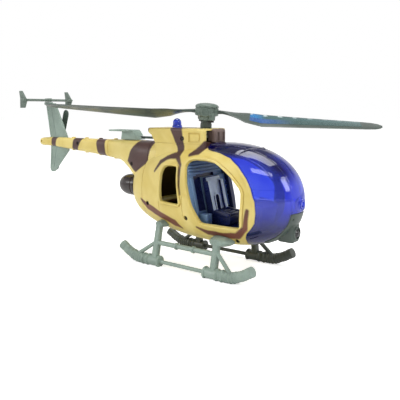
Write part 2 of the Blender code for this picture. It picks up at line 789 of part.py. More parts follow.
def pilot_seat():
    """Seat base and reclined back, with a tab in the bulkhead's slot."""
    side_view = [
        (9.8, 37.2), (29, 37.2), (30.5, 41), (30, 45), (17, 46.4), (12.6, 47.6), (5.4, 78.6), (1.8, 77.6),
    ]
    bolster_view = [(10.6, 46), (16.2, 47), (9.2, 75.5), (3.6, 74)]
    seat = side_prism("pilot_seat", side_view, -9.6, 9.6)
    soften(seat, 1.4)
    for middle in (-8.6, 8.6):
        bolster = side_prism("bolster", bolster_view, middle - 1.6, middle + 1.6)
        fuse(seat, soften(bolster, 0.8, 1))
    fuse(seat, box("tab", (4.4, -5.4, 44.6), (13, 5.4, 49.4)))
    cut(seat, side_prism("tab_end", [(-4, 40), (4.6, 40), (4.6, 51), (-4, 51)], -8, 8))
    return finish(keep_largest(seat), INTERIOR)


def instrument_console():
    """The block between the pilot and the nose."""
    side_view = [(49, 37.2), (57, 37.2), (60.5, 55), (51.5, 58.4), (48.6, 55.6), (50.4, 52)]
    console = soften(side_prism("instrument_console", side_view, -11, 11), 1.0)
    for side in (-1, 1):
        fuse(console, rod("dial", (50.2, side * 5, 56.9), (51.0, side * 5, 58.6), 3.0, 16))
    return finish(console, INTERIOR)


# ---------------------------------------------------------------- main rotor

def rotor_mast():
    """The leaning tube, stepped down to a spindle under the cowl's roof."""
    profile = [(0, 119.4), (2.4, 119.4), (2.4, 117.6), (MAST_RADIUS, 117.6), (MAST_RADIUS, 107.4),
               (SPINDLE_RADIUS, 107.4), (SPINDLE_RADIUS, 98.6), (0, 98.6)]
    return set_origin(finish(mast_turned("rotor_mast", profile), GREY), mast_frame().translation)


def rotor_hub():
    """Lower half of the hub, with the collar that takes the mast's head."""
    profile = [(0, HUB_SPLIT_Z), (HUB_RADIUS, HUB_SPLIT_Z), (HUB_RADIUS, 122.3), (8.5, 121.2), (5.8, 120.4),
               (5.6, 117.9), (2.7, 117.9), (2.7, 119.7), (0, 119.7)]
    hub = mast_turned("rotor_hub", profile)
    for turn in HUB_SCREW_TURNS:
        fuse(hub, hub_rod("boss", turn, HUB_BOSS_Z, HUB_SPLIT_Z - 0.5, 2.7))
    for index in (0, 1):
        cut(hub, blade_socket("socket", index))
    for turn in HUB_SCREW_TURNS:
        cut(hub, hub_rod("hole", turn, 116, 130, SCREW_SHANK_RADIUS + GAP))
    return set_origin(finish(keep_largest(hub), HUB_GREY), mast_frame().translation)


def rotor_hub_cap():
    """Upper half of the hub, which clamps the blades' roots."""
    low = HUB_SPLIT_Z + GAP
    profile = [(0, 131.2), (4.6, 131.0), (7.8, 130.3), (HUB_RADIUS, 129.2), (HUB_RADIUS, low), (0, low)]
    cap = mast_turned("rotor_hub_cap", profile)
    for index in (0, 1):
        cut(cap, blade_socket("socket", index))
    for turn in HUB_SCREW_TURNS:
        cut(cap, hub_rod("hole", turn, 120, 128.4, SCREW_SHANK_RADIUS + GAP))
    return set_origin(finish(keep_largest(cap), HUB_GREY), mast_frame().translation)


def hub_screw_frame(turn):
    """The frame of a hub screw's line: beside the mast's axis, at an angle from the blades."""
    around = Matrix.Rotation(ROTOR_ANGLE + turn, 4, "Z")
    return mast_frame(0) @ around @ Matrix.Translation((HUB_SCREW_REACH * MM, 0, 0))


def hub_rod(name, turn, bottom, top, radius):
    return turned(name, rod_profile(radius, bottom, top), hub_screw_frame(turn), 16)


def hub_screw(index):
    """A screw from below that holds the cap on the hub."""
    seat = HUB_BOSS_Z - GAP
    head = seat - 1.2
    shank = SCREW_SHANK_RADIUS
    profile = [(0, 128), (shank, 128), (shank, seat), (1.9, seat), (1.9, head), (0, head)]
    item = turned(f"hub_screw_{index + 1}", profile, hub_screw_frame(HUB_SCREW_TURNS[index]), 14)
    return set_origin(finish(item, STEEL), mast_frame().translation)


def blade_frame(index):
    """The frame of one blade: its X runs out along the span, at the hub's split."""
    turn = Matrix.Rotation(ROTOR_ANGLE + index * math.pi, 4, "Z")
    return mast_frame(HUB_SPLIT_Z + GAP / 2) @ turn


def blade_socket(name, index):
    def make(shape):
        size = Matrix.Diagonal((8.0 * MM, 3.6 * MM, 3.6 * MM, 1))
        middle = Matrix.Translation((8.1 * MM, 0, 0))
        bmesh.ops.create_cube(shape, size=1, matrix=blade_frame(index) @ middle @ size)

    return from_bmesh(name, make)


def blade_section(reach, lead, trail, thickness, pitch, drop, segments=10):
    """A thin lens across the blade, turned to its pitch; the root stays square to the hub."""
    outward = min(max((reach - 10) / 12, 0), 1)
    turn = Matrix.Rotation(math.radians(pitch), 3, "X")
    ring = []
    for index in range(segments):
        angle = 2 * math.pi * index / segments
        across, up = oval(angle, (lead - trail) / 2, thickness / 2, 6 - 4 * outward)
        place = turn @ Vector((reach, across + (lead + trail) / 2, up))
        ring.append((place - Vector((0, 0, drop))) * MM)
    return ring


def rotor_blade(index):
    """One moulded blade. Its leading edge is on the side that moves ahead."""
    def make(shape):
        rows = []
        for station in BLADE:
            rows.append([shape.verts.new(blade_frame(index) @ place) for place in blade_section(*station)])
        for first, second in zip(rows, rows[1:]):
            for corner in range(len(first)):
                after = (corner + 1) % len(first)
                shape.faces.new((first[corner], first[after], second[after], second[corner]))
        shape.faces.new(rows[0])
        shape.faces.new(rows[-1])
        bmesh.ops.recalc_face_normals(shape, faces=shape.faces)

    blade = from_bmesh(f"rotor_blade_{index + 1}", make)
    return set_origin(finish(blade, HUB_GREY), mast_frame().translation)


# ---------------------------------------------------------------- slider and gears

def spin_lever():
    """The thumb plate with its body, and the foot that runs in the boom's slot."""
    side_view = [
        (-93, 100), (-72, 100), (-77.2, 107), (-79.4, 108.6), (-106, 108.6), (-106, 107.1), (-91.6, 107.1),
    ]
    plate_view = [(-106, 107.1), (-79.4, 107.1), (-79.4, 108.6), (-106, 108.6)]
    lever = side_prism("spin_lever", side_view, -4.2, 6.2)
    fuse(lever, side_prism("plate", plate_view, -6.8, 6.8))
    fuse(lever, box("neck", (-90, -2.2, 94.6), (-76, 2.2, 101)))
    fuse(lever, box("foot", (-90, -4.4, 94.4), (-76, 4.4, 96.6)))
    cut(lever, box("rack_pocket", (-84.6, 2.0, RACK_Z[0] - GAP), (-60, 6.8, RACK_Z[1] + GAP)))
    return finish(lever, GREY)


def spin_rack():
    """The bar from the slider into the cowl, toothed on its inner side."""
    pitch = math.pi * MODULE
    line = PINION_TEETH * MODULE / 2 + BACKLASH
    gap_x = idler_x(RACK_Z[0])
    bar = box("spin_rack", (-84.2, line + DEDENDUM, RACK_Z[0]), (-8.6, 6.3, RACK_Z[1]))
    teeth = []
    for index in range(-9, 2):
        middle = gap_x + (index + 0.5) * pitch
        teeth.append(rack_tooth("tooth", middle, line))
    return finish(fuse(bar, *teeth), NYLON)


def rack_tooth(name, middle, line):
    """One tooth that points at the idler's pinion."""
    root = line + DEDENDUM + 0.2
    tip = line - ADDENDUM
    section = [(-0.72, root), (-0.28, tip), (0.28, tip), (0.72, root)]
    rings = [[(middle + x, y, z) for x, y in section] for z in RACK_Z]
    return loft(name, rings)


def idler_offset():
    """Distance of the idler's axis behind the mast's axis."""
    return (WHEEL_TEETH + DRIVE_TEETH) * MODULE / 2 + BACKLASH


def idler_x(z):
    """Place of the idler's axis along X at a height."""
    return -idler_offset() * math.cos(MAST_TILT) - (MAST_PIVOT_Z - z) * math.tan(MAST_TILT)


def gear(name, teeth, bottom, top, phase, x_offset):
    """A spur gear about the mast's axis, or an axis beside it, with a tooth at the phase angle."""
    pitch_radius = teeth * MODULE / 2
    flanks = ((-0.33, -DEDENDUM), (-0.13, ADDENDUM), (0.13, ADDENDUM), (0.33, -DEDENDUM))
    outline = []
    for index in range(teeth):
        for share, height in flanks:
            angle = phase + 2 * math.pi * (index + share) / teeth
            radius = pitch_radius + height
            outline.append((radius * math.cos(angle), radius * math.sin(angle)))
    placing = mast_frame(0) @ Matrix.Translation((x_offset * MM, 0, 0))

    def make(shape):
        rows = []
        for z in (bottom, top):
            rows.append([shape.verts.new(placing @ (Vector((x, y, z)) * MM)) for x, y in outline])
        for corner in range(len(outline)):
            after = (corner + 1) % len(outline)
            shape.faces.new((rows[0][corner], rows[0][after], rows[1][after], rows[1][corner]))
        shape.faces.new(rows[0])
        shape.faces.new(rows[1])
        bmesh.ops.recalc_face_normals(shape, faces=shape.faces)

    return from_bmesh(name, make)


def idler_gear():
    """Pinion and wheel in one moulding: a pinion tooth points at the rack, a wheel tooth at the mast."""
    offset = -idler_offset()
    wheel = gear("idler_gear", WHEEL_TEETH, *WHEEL_Z, 0.0, offset)
    fuse(wheel, gear("pinion", PINION_TEETH, PINION_Z[0], PINION_Z[1] + 0.4, math.pi / 2, offset))
    cut(wheel, mast_turned("bore", rod_profile(IDLER_AXLE_RADIUS + GAP, 98, 110), 20, offset))
    middle = mast_frame(WHEEL_Z[0]) @ Matrix.Translation((offset * MM, 0, 0))
    return set_origin(finish(wheel, NYLON), middle.translation)


def idler_axle():
    """The steel axle that stands in the cradle."""
    radius = IDLER_AXLE_RADIUS
    profile = [(0, 107.6), (2.0, 107.6), (2.0, 106.7), (radius, 106.7), (radius, 97.2), (0, 97.2)]
    return finish(mast_turned("idler_axle", profile, 20, -idler_offset()), STEEL)


def drive_gear():
    """The gear that the idler's wheel turns, with the clutch collar on top."""
    phase = math.pi + math.pi / DRIVE_TEETH
    wheel = gear("drive_gear", DRIVE_TEETH, WHEEL_Z[0] + 0.1, WHEEL_Z[1] + 0.1, phase, 0)
    cut(wheel, mast_turned("bore", rod_profile(SPINDLE_RADIUS + GAP, 98, 110), 20))
    return set_origin(finish(wheel, NYLON), mast_frame(WHEEL_Z[0]).translation)


def gear_cradle():
    """The plate under the gears, with an ear that a screw holds to the right shell."""
    plate = box("gear_cradle", (-24, -12.1, 97.6), (4.6, 12.1, 99.3))
    x, z = CRADLE_SCREW
    fuse(plate, box("ear", (x - 3, -12.1, 98), (x + 3, -10.3, 106.6)))
    fuse(plate, mast_turned("mast_foot", rod_profile(3.2, 98.2, 100.3)))
    cut(plate, mast_turned("mast_bore", rod_profile(SPINDLE_RADIUS + GAP, 90, 110), 20))
    cut(plate, mast_turned("axle_bore", rod_profile(IDLER_AXLE_RADIUS + GAP, 90, 110), 20, -idler_offset()))
    cut(plate, rod("screw_hole", (x, -14, z), (x, -8, z), SCREW_SHANK_RADIUS + GAP, 12))
    return finish(plate, NYLON)


def mast_bush():
    """The ring under the cowl's roof that steadies the mast."""
    ring = mast_turned("mast_bush", rod_profile(7.0, 107.6, 109.0), 24)
    cut(ring, mast_turned("bush_bore", rod_profile(MAST_RADIUS + GAP, 104, 112), 24))
    return finish(ring, NYLON)


def return_spring():
    """The wire coil that pushes the slider back."""
    turns = 6
    steps = 8
    start = -75.4
    length = 18
    radius = 1.9
    points = []
    for index in range(turns * steps + 1):
        angle = 2 * math.pi * index / steps
        x = start + length * index / (turns * steps)
        points.append((x, radius * math.cos(angle), 92.6 + radius * math.sin(angle)))
    return finish(tube("return_spring", points, 0.4, 0), STEEL)


def shell_screw(index, x, z):
    """A screw from the right side into the left half's boss."""
    head_y = -surface_y(x, z) + screw_depth(x) - GAP
    item = rod(f"shell_screw_{index + 1}", (x, head_y - 1.3, z), (x, head_y, z), SCREW_HEAD_RADIUS, 14)
    fuse(item, rod("shank", (x, head_y - 0.5, z), (x, screw_tip(x) - GAP, z), SCREW_SHANK_RADIUS, 10))
    cut(item, box("cross", (x - 0.25, head_y - 2, z - 1.1), (x + 0.25, head_y - 0.8, z + 1.1)))
    cut(item, box("cross", (x - 1.1, head_y - 2, z - 0.25), (x + 1.1, head_y - 0.8, z + 0.25)))
    return finish(item, STEEL)


def cradle_screw():
    x, z = CRADLE_SCREW
    item = rod("cradle_screw", (x, -13.7, z), (x, -12.4, z), SCREW_HEAD_RADIUS, 14)
    fuse(item, rod("shank", (x, -13, z), (x, -10.5, z), SCREW_SHANK_RADIUS, 10))
    return finish(item, STEEL)


clear_scene()
PARTS = collection("toy_helicopter")

whole_shell = shell()
shell_half(whole_shell, "body_shell_right", -1)
shell_half(whole_shell, "body_shell_left", 1)
bpy.data.objects.remove(whole_shell, do_unlink=True)
windshield()
chin_fairing()
nose_camera_lens()
air_intake()
exhaust_nozzle()
beacon_lens()
tail_fin()
tail_stabiliser()
tail_rotor()
tail_rotor_pin()
right_skid = skid()
mirrored(right_skid, "landing_skid_left")
cockpit_tub()
pilot_seat()
instrument_console()
rotor_mast()
rotor_hub()
rotor_hub_cap()
for number in (0, 1):
    rotor_blade(number)
    hub_screw(number)
spin_lever()
spin_rack()
idler_gear()
idler_axle()
drive_gear()
gear_cradle()
mast_bush()
return_spring()
for number, (screw_x, screw_z) in enumerate(SCREWS):
    shell_screw(number, screw_x, screw_z)
cradle_screw()
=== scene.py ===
"""Looks of the toy helicopter: fine moulded surfaces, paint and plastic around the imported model.

Places are millimetres from the foot of the rotor mast: X forward, Y to the left, Z up from the
ground. at() turns such a place into metres in the frame.
"""

import json
import math

import bmesh
import bpy
from mathutils import Matrix, Vector


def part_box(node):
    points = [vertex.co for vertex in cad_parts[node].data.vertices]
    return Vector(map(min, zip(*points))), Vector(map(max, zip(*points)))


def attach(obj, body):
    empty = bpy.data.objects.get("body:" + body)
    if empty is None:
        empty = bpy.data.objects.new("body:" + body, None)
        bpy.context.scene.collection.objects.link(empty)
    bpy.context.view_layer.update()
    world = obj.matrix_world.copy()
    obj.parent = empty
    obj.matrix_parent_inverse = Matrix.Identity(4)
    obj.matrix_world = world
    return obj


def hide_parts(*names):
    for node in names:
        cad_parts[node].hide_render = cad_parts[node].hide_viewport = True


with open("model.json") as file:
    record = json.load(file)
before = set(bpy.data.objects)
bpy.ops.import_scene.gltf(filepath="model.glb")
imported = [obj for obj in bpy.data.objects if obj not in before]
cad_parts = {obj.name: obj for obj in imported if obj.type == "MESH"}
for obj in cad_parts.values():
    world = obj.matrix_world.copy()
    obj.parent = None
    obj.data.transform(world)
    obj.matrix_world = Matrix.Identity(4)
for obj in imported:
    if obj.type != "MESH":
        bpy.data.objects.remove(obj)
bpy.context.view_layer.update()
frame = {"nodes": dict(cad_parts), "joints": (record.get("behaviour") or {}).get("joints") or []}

JOINTS = {joint["name"]: joint for joint in frame["joints"]}
MAST_PIVOT = Vector(JOINTS["rotor_spin"]["pos_m"])
MAST_AXIS = Vector(JOINTS["rotor_spin"]["axis"]).normalized()
TAIL_AXLE = Vector(JOINTS["tail_rotor_spin"]["pos_m"])

MM = 0.001
QUARTER = math.pi / 2
GAP = 0.3
WALL = 1.5
SEAM = 0.12

# Cabin: an egg whose widest ring stands at EGG_X
EGG_X = 20.8
EGG_Z = 58.0
EGG_NOSE = 63.8
EGG_TAIL = 97.0
EGG_UP = 42.3
EGG_DOWN = 36.5
EGG_HALF_WIDTH = 28.3
EGG_POWER = 2.3
TAIL_FULLNESS = 0.75

COWL_TOP = 111.5
COWL_HALF_WIDTH = 14.0
COWL_SIDE = [(9.5, 82), (9.5, COWL_TOP), (-51, COWL_TOP), (-51, 108.3), (-47.5, 106), (-43.5, 99.6),
             (-43.5, 82)]

# Tail boom stations: x, lower edge, upper edge, half-width
BOOM = [
    (-40, 60, 99.6, 13), (-66, 62, 99.6, 12.5), (-80, 72.5, 99.6, 10), (-90, 79.8, 99.6, 8.8),
    (-100, 82, 99.5, 8), (-126, 84.7, 99.2, 6.6), (-160, 87.3, 99.1, 5.4), (-191, 89.7, 99, 4.6),
    (-205, 90.1, 98.5, 4.2), (-211, 90.1, 98.0, 4.0), (-214.6, 91, 97.1, 3.1), (-216, 92.6, 95.5, 1.5),
]
BOOM_POWER = 3.0
BOOM_CAVITY_END = -164

# Outlines in side view, x and z
DOOR = [
    (0.8, 69), (-0.9, 78), (-2.0, 82.6), (-1.3, 85.4), (0.8, 87.4), (5.4, 88.5), (15.3, 88.3), (23.2, 87.3),
    (28.4, 85.1), (35.6, 80.9), (40.5, 77.6), (45.1, 73.3), (48.6, 69.7), (49.9, 66.5), (49.9, 58.6),
    (48.4, 42.6), (47.1, 39.8), (27.6, 39.8), (14.6, 39.8), (12.8, 41.2), (9.5, 46.9), (5.6, 53.9), (3, 61.5),
]
WINDOW = [
    (-6.4, 52.5), (-8.4, 64.2), (-9.6, 71.9), (-10.8, 81.6), (-16.6, 82.3), (-22.6, 82.3), (-26.2, 80.7),
    (-27.9, 76.6), (-28.1, 68.0), (-28.1, 60.5), (-27.6, 53.2), (-18, 52.8),
]
CANOPY_REAR = [
    (11, 97.5), (13.8, 95.8), (25.7, 93.7), (36, 90.7), (44.6, 85.2), (52.4, 77.4), (57.2, 69.5),
    (60.1, 60.7),
    (60.7, 52.8), (59.6, 45.5), (56, 40.5), (52.2, 36.4), (50.2, 32.7), (48.7, 27),
]
CANOPY_SIDE = [(11, 125)] + CANOPY_REAR + [(47.5, 10), (110, 10), (110, 125)]
RIM = 2.0
RIM_PROUD = 1.1
VISOR_X = 54.0
CHIN_BACK = 61.0
CHIN_TOP = 52.6
CHIN_HALF_WIDTH = 9.5
BACK_FOOT_Z = 47.6
# Switches on the bulkhead's column: y and z
SWITCHES = [(16.2, 65.5), (20.6, 65.5), (16.4, 58.4), (20.8, 57.6), (16.8, 51.4)]

# Main rotor, on the leaning mast
MAST_RADIUS = 4.6
HUB_RADIUS = 9.3
HUB_SPLIT_Z = 124.55
ROTOR_ANGLE = math.radians(30.4)
HUB_SCREW_TURNS = (math.radians(-46.4), math.radians(133.6))
# Blade stations from the axis: distance, leading edge, trailing edge, thickness, pitch in degrees, drop
BLADE = [
    (4.4, 1.5, -1.5, 3.0, 0, 0), (10.0, 1.5, -1.5, 3.0, 0, 0), (13.0, 1.7, -2.2, 2.4, 5, 0),
    (20.0, 2.6, -7.6, 1.8, 13, 0.3), (31.0, 4.2, -15.2, 1.5, 19.5, 0.9), (34.0, 4.4, -15.6, 1.5, 20.5, 1.1),
    (44.0, 4.4, -15.6, 1.5, 24.5, 2.0), (80.0, 4.4, -15.2, 1.5, 19, 2.2), (121.5, 4.4, -14.6, 1.4, 13, 2.2),
    (128.5, 3.6, -13.6, 1.4, 12, 2.2), (132.5, 1.2, -11.0, 1.3, 11.5, 2.2), (134.5, -2.6, -7.4, 1.2, 11, 2.2),
]

# Skids, drawn for the right side
SKID_Y = -31.0
SKID_Z = 4.1
SLEEVE_RADIUS = 4.5
RIB = 0.6
ROD_RADIUS = 1.6
STRUT_X = 29.5
STEP_Z = 18.8

FIN_HALF = 1.2
STABILISER_HALF_SPAN = 27.5
TAIL_HUB = (-194.5, 95.0)
TAIL_ROTOR_Y = 8.2
TAIL_ROTOR_RADIUS = 33.0
TAIL_ROTOR_LEAN = math.radians(20)

SCREWS = [(-45.2, 49.0), (-1.0, 42.3), (41.6, 28.7), (-73.0, 79.5), (-151.7, 94.5)]
SCREW_HEAD_RADIUS = 1.7
CRADLE_SCREW = (-13.5, 103.5)

# Sprayed camouflage in side view: brush strokes of x, z and half-width, and one patch of corners
STROKES = [
    [(-188.5, 101, 4.6), (-191.5, 88, 3.2)],
    [(-151.5, 101, 6.2), (-157.5, 87, 3.2)],
    [(-118, 101, 6.4), (-116, 83, 5.2)],
    [(-20.5, 113, 6.0), (-14.8, 97.5, 3.8), (-15, 91, 3.2)],
    [(-36.8, 76.6, 0.8), (-31.8, 84.5, 2.0), (-26.1, 87.6, 1.8), (-15.2, 90.6, 2.8)],
    [(-13.8, 89.1, 2.1), (-8.4, 83.3, 1.2), (-5.4, 61, 0.6)],
    [(-54.7, 51.6, 1.0), (-45, 46.2, 3.0), (-15, 36, 3.3), (-8.6, 32.3, 0.9)],
    [(8.1, 35.9, 0.9), (18.2, 32.7, 2.2), (31.2, 32.7, 2.1), (44, 33.6, 2.8), (52, 40.5, 2.0),
     (55.2, 55, 1.4)],
    [(-51, 112, 2.6), (-51, 108.5, 1.4)],
    [(9.5, 99.5, 3.0), (4.5, 94.6, 3.2), (-2.2, 91.2, 1.7)],
]
PATCH = [(-68.5, 102), (-48, 102), (-50.5, 89.7), (-52.5, 81), (-67.7, 72), (-80.5, 82.6), (-75, 90)]

# Studio: share of the walls' light, and soft lamps with place in metres, size and power
CEILING_LIGHT = 0.35
OPENING_LIGHT = 0.3
WALL_LIGHT = 0.9
FLOOR_GLOW = 0.62
LAMPS = [
    ("left_box", (-0.55, -0.75, 0.55), (0.5, 0.5), 2.6),
    ("right_box", (0.95, -0.15, 0.6), (0.35, 0.5), 3.0),
    ("strip_box", (0.33, -0.66, 0.86), (0.6, 0.2), 1.5),
    ("top_box", (0.05, 0.1, 1.0), (0.7, 0.5), 4.5),
]


def at(x, y, z):
    """Metres in the frame from millimetres from the mast's foot."""
    return Vector((MAST_PIVOT.x + x * MM, y * MM, z * MM))


def placed(x, y, z, turn=0.0, axis="Y"):
    """A frame at a place, turned about one axis."""
    return Matrix.Translation(at(x, y, z)) @ Matrix.Rotation(turn, 4, axis)


# ---------------------------------------------------------------- modelling tools

def add_object(name, data):
    item = bpy.data.objects.new(name, data)
    bpy.context.scene.collection.objects.link(item)
    return item


def bake(item):
    """Replace a piece's mesh by what its modifiers make of it."""
    bpy.context.view_layer.update()
    graph = bpy.context.evaluated_depsgraph_get()
    mesh = bpy.data.meshes.new_from_object(item.evaluated_get(graph))
    item.modifiers.clear()
    item.data = mesh
    return item


def is_sound(item, fewest):
    """Whether a boolean left a closed body of at least so many faces."""
    shape = bmesh.new()
    shape.from_mesh(item.data)
    sound = len(shape.faces) >= fewest and all(len(edge.link_faces) == 2 for edge in shape.edges)
    shape.free()
    return sound


def combine(item, others, operation):
    """Join, cut or intersect with the EXACT solver, or MANIFOLD where that one breaks the body."""
    for other in others:
        before = item.data
        fewest = len(before.polygons) // 2 if operation == "UNION" else 4
        for solver in ("EXACT", "MANIFOLD"):
            item.data = before
            step = item.modifiers.new(operation.lower(), "BOOLEAN")
            step.operation = operation
            step.solver = solver
            step.object = other
            bake(item)
            if is_sound(item, fewest):
                break
        bpy.data.objects.remove(other, do_unlink=True)
    return item


def fuse(item, *others):
    return combine(item, others, "UNION")


def cut(item, *others):
    return combine(item, others, "DIFFERENCE")


def keep_inside(item, *others):
    return combine(item, others, "INTERSECT")


def from_bmesh(make):
    """A new object whose mesh a function fills."""
    data = bpy.data.meshes.new("part")
    shape = bmesh.new()
    make(shape)
    shape.to_mesh(data)
    shape.free()
    return add_object("part", data)


def group(*items):
    """Several bodies in one object, in the order given, without a boolean."""

    def make(shape):
        for item in items:
            shape.from_mesh(item.data)
            bpy.data.objects.remove(item, do_unlink=True)

    return from_bmesh(make)


def box(low, high):
    """A block between two corners."""
    low_corner = at(*low)
    high_corner = at(*high)
    size = Matrix.Diagonal((*(high_corner - low_corner), 1))
    matrix = Matrix.Translation((low_corner + high_corner) / 2) @ size
    return from_bmesh(lambda shape: bmesh.ops.create_cube(shape, size=1, matrix=matrix))


def rod(start, end, radius, segments=32):
    """A cylinder from one place to another."""
    foot = at(*start)
    head = at(*end)
    axis = head - foot
    matrix = Matrix.Translation((foot + head) / 2) @ axis.to_track_quat("Z", "Y").to_matrix().to_4x4()

    def make(shape):
        bmesh.ops.create_cone(shape, cap_ends=True, segments=segments, radius1=radius * MM,
                              radius2=radius * MM, depth=axis.length, matrix=matrix)

    return from_bmesh(make)


def side_prism(outline, right, left):
    """An outline in side view, drawn out from the right limit to the left one."""
    curve = bpy.data.curves.new("outline", "CURVE")
    curve.dimensions = "2D"
    curve.fill_mode = "BOTH"
    curve.extrude = (left - right) / 2 * MM
    spline = curve.splines.new("POLY")
    spline.points.add(len(outline) - 1)
    for point, (x, z) in zip(spline.points, outline):
        point.co = (x * MM, z * MM, 0, 1)
    spline.use_cyclic_u = True
    guide = add_object("outline", curve)
    bpy.context.view_layer.update()
    graph = bpy.context.evaluated_depsgraph_get()
    data = bpy.data.meshes.new_from_object(guide.evaluated_get(graph))
    bpy.data.objects.remove(guide, do_unlink=True)

    def make(shape):
        shape.from_mesh(data)
        bmesh.ops.remove_doubles(shape, verts=shape.verts, dist=1e-6)
        bmesh.ops.recalc_face_normals(shape, faces=shape.faces)

    item = from_bmesh(make)
    item.data.transform(Matrix.Translation(at(0, (right + left) / 2, 0)) @ Matrix.Rotation(QUARTER, 4, "X"))
    return item


def turned(profile, placing, segments=64):
    """A turned shape. Its profile of radius and height runs down the outer side."""

    def make(shape):
        ring = [shape.verts.new((radius * MM, 0, height * MM)) for radius, height in profile]
        for pair in zip(ring, ring[1:]):
            shape.edges.new(pair)

    item = from_bmesh(make)
    screw = item.modifiers.new("turn", "SCREW")
    screw.steps = segments
    screw.render_steps = segments
    screw.use_merge_vertices = True
    screw.merge_threshold = 0.000002
    bake(item)
    item.data.transform(placing)
    return item


def arc(centre, radius, start, end, steps=6):
    """Profile points on an arc; angles in degrees from the outward direction."""
    angles = [math.radians(start + (end - start) * index / steps) for index in range(steps + 1)]
    return [(centre[0] + radius * math.cos(angle), centre[1] + radius * math.sin(angle)) for angle in angles]


def loft(rings, closed=False):
    """A solid through rings of places in metres that all have the same number of points."""

    def make(shape):
        rows = [[shape.verts.new(place) for place in ring] for ring in rings]
        ends = rows[1:] + rows[:1] if closed else rows[1:]
        for first, second in zip(rows, ends):
            for index, corner in enumerate(first):
                after = (index + 1) % len(first)
                shape.faces.new((corner, first[after], second[after], second[index]))
        if not closed:
            shape.faces.new(rows[0])
            shape.faces.new(rows[-1])
        bmesh.ops.recalc_face_normals(shape, faces=shape.faces)

    return from_bmesh(make)


def soften(item, width, segments=3, angle=35):
    """Round the edges that are sharper than an angle."""
    bevel = item.modifiers.new("soften", "BEVEL")
    bevel.width = width * MM
    bevel.segments = segments
    bevel.limit_method = "ANGLE"
    bevel.angle_limit = math.radians(angle)
    return bake(item)


def smooth_curve(points, steps):
    """Places on a smooth curve through the given ones."""
    places = [Vector(point) for point in points]
    padded = places[:1] + places + places[-1:]
    found = []
    for a, b, c, d in zip(padded, places, places[1:], padded[3:]):
        for step in range(steps):
            t = step / steps
            found.append(0.5 * (2 * b + (c - a) * t + (2 * a - 5 * b + 4 * c - d) * t ** 2
                                + (3 * b - a - 3 * c + d) * t ** 3))
    return found + places[-1:]


def round_corners(outline, rounds=3, share=0.14):
    """Cut the corners of a closed outline again and again, which rounds them."""
    points = [Vector(point) for point in outline]
    for _ in range(rounds):
        pairs = zip(points, points[1:] + points[:1])
        points = [place for a, b in pairs for place in (a.lerp(b, share), b.lerp(a, share))]
    return [tuple(point) for point in points]


def grown(outline, distance):
    """An outline moved out along the bisectors of its corners."""
    area = sum(a[0] * b[1] - b[0] * a[1] for a, b in zip(outline, outline[1:] + outline[:1]))
    side = 1 if area > 0 else -1
    moved = []
    for index, (x, z) in enumerate(outline):
        before = Vector((x, z)) - Vector(outline[index - 1])
        after = Vector(outline[(index + 1) % len(outline)]) - Vector((x, z))
        normals = [Vector((edge.y, -edge.x)).normalized() * side for edge in (before, after)]
        bisector = (normals[0] + normals[1]).normalized()
        reach = distance / max(bisector.dot(normals[0]), 0.5)
        moved.append((x + bisector.x * reach, z + bisector.y * reach))
    return moved


def tube(stations, segments=24):
    """A round bar along places, each with its own radius: (place, radius)."""
    places = [at(*place) for place, _ in stations]
    side = (places[1] - places[0]).normalized().orthogonal().normalized()
    angles = [2 * math.pi * index / segments for index in range(segments)]
    rings = []
    for index, (place, (_, radius)) in enumerate(zip(places, stations)):
        ahead = (places[min(index + 1, len(places) - 1)] - places[max(index - 1, 0)]).normalized()
        side = (side - ahead * side.dot(ahead)).normalized()
        other = ahead.cross(side)
        rings.append([place + (side * math.cos(angle) + other * math.sin(angle)) * radius * MM
                      for angle in angles])
    return loft(rings)


def collar(x, y, z, half_length, lip, radius, slope, segments=24):
    """A ring round a bar that runs along X, with sloping ends."""
    spans = ((-half_length, radius - slope), (-lip, radius), (lip, radius), (half_length, radius - slope))
    return tube([((x + shift, y, z), wide) for shift, wide in spans], segments)


def oval(angle, half_width, half_height, power):
    """A point on a rounded box of a section: across and up from its middle."""
    across = math.cos(angle)
    up = math.sin(angle)
    reach = (abs(across) ** power + abs(up) ** power) ** (-1 / power)
    return across * reach * half_width, up * reach * half_height


def oval_ring(count, half_width, half_height, power, place):
    """A rounded box of places; place() takes the distances across and up."""
    return [place(*oval(2 * math.pi * index / count, half_width, half_height, power))
            for index in range(count)]


def between(rows, value):
    """The other columns of a table where its first column has a value."""
    for first, second in zip(rows, rows[1:]):
        if min(first[0], second[0]) <= value <= max(first[0], second[0]):
            share = (value - first[0]) / (second[0] - first[0])
            return [a + (b - a) * share for a, b in zip(first[1:], second[1:])]
    raise ValueError(value)


def edge_of(is_within, low, high):
    """The value between two limits where a test stops being true."""
    for _ in range(30):
        middle = (low + high) / 2
        if is_within(middle):
            low = middle
        else:
            high = middle
    return low


# ---------------------------------------------------------------- main surfaces

def egg(inset, around=96, along=64):
    """The cabin's outer surface, drawn in by an inset."""

    def make(shape):
        bmesh.ops.create_uvsphere(shape, u_segments=around, v_segments=along, radius=1)
        for corner in shape.verts:
            forward = max(-1.0, min(1.0, corner.co.z))
            angle = math.atan2(corner.co.y, corner.co.x)
            if forward > 0:
                reach = EGG_NOSE - inset
                fullness = (1 - forward ** EGG_POWER) ** (1 / EGG_POWER)
            else:
                reach = EGG_TAIL - inset
                fullness = max(1 - forward ** 2, 0) ** (TAIL_FULLNESS / 2)
            height = (EGG_UP if angle > 0 else EGG_DOWN) - inset
            y, z = oval(angle, (EGG_HALF_WIDTH - inset) * fullness, height * fullness, EGG_POWER)
            corner.co = at(EGG_X + forward * reach, y, EGG_Z + z)
        bmesh.ops.recalc_face_normals(shape, faces=shape.faces)

    return from_bmesh(make)


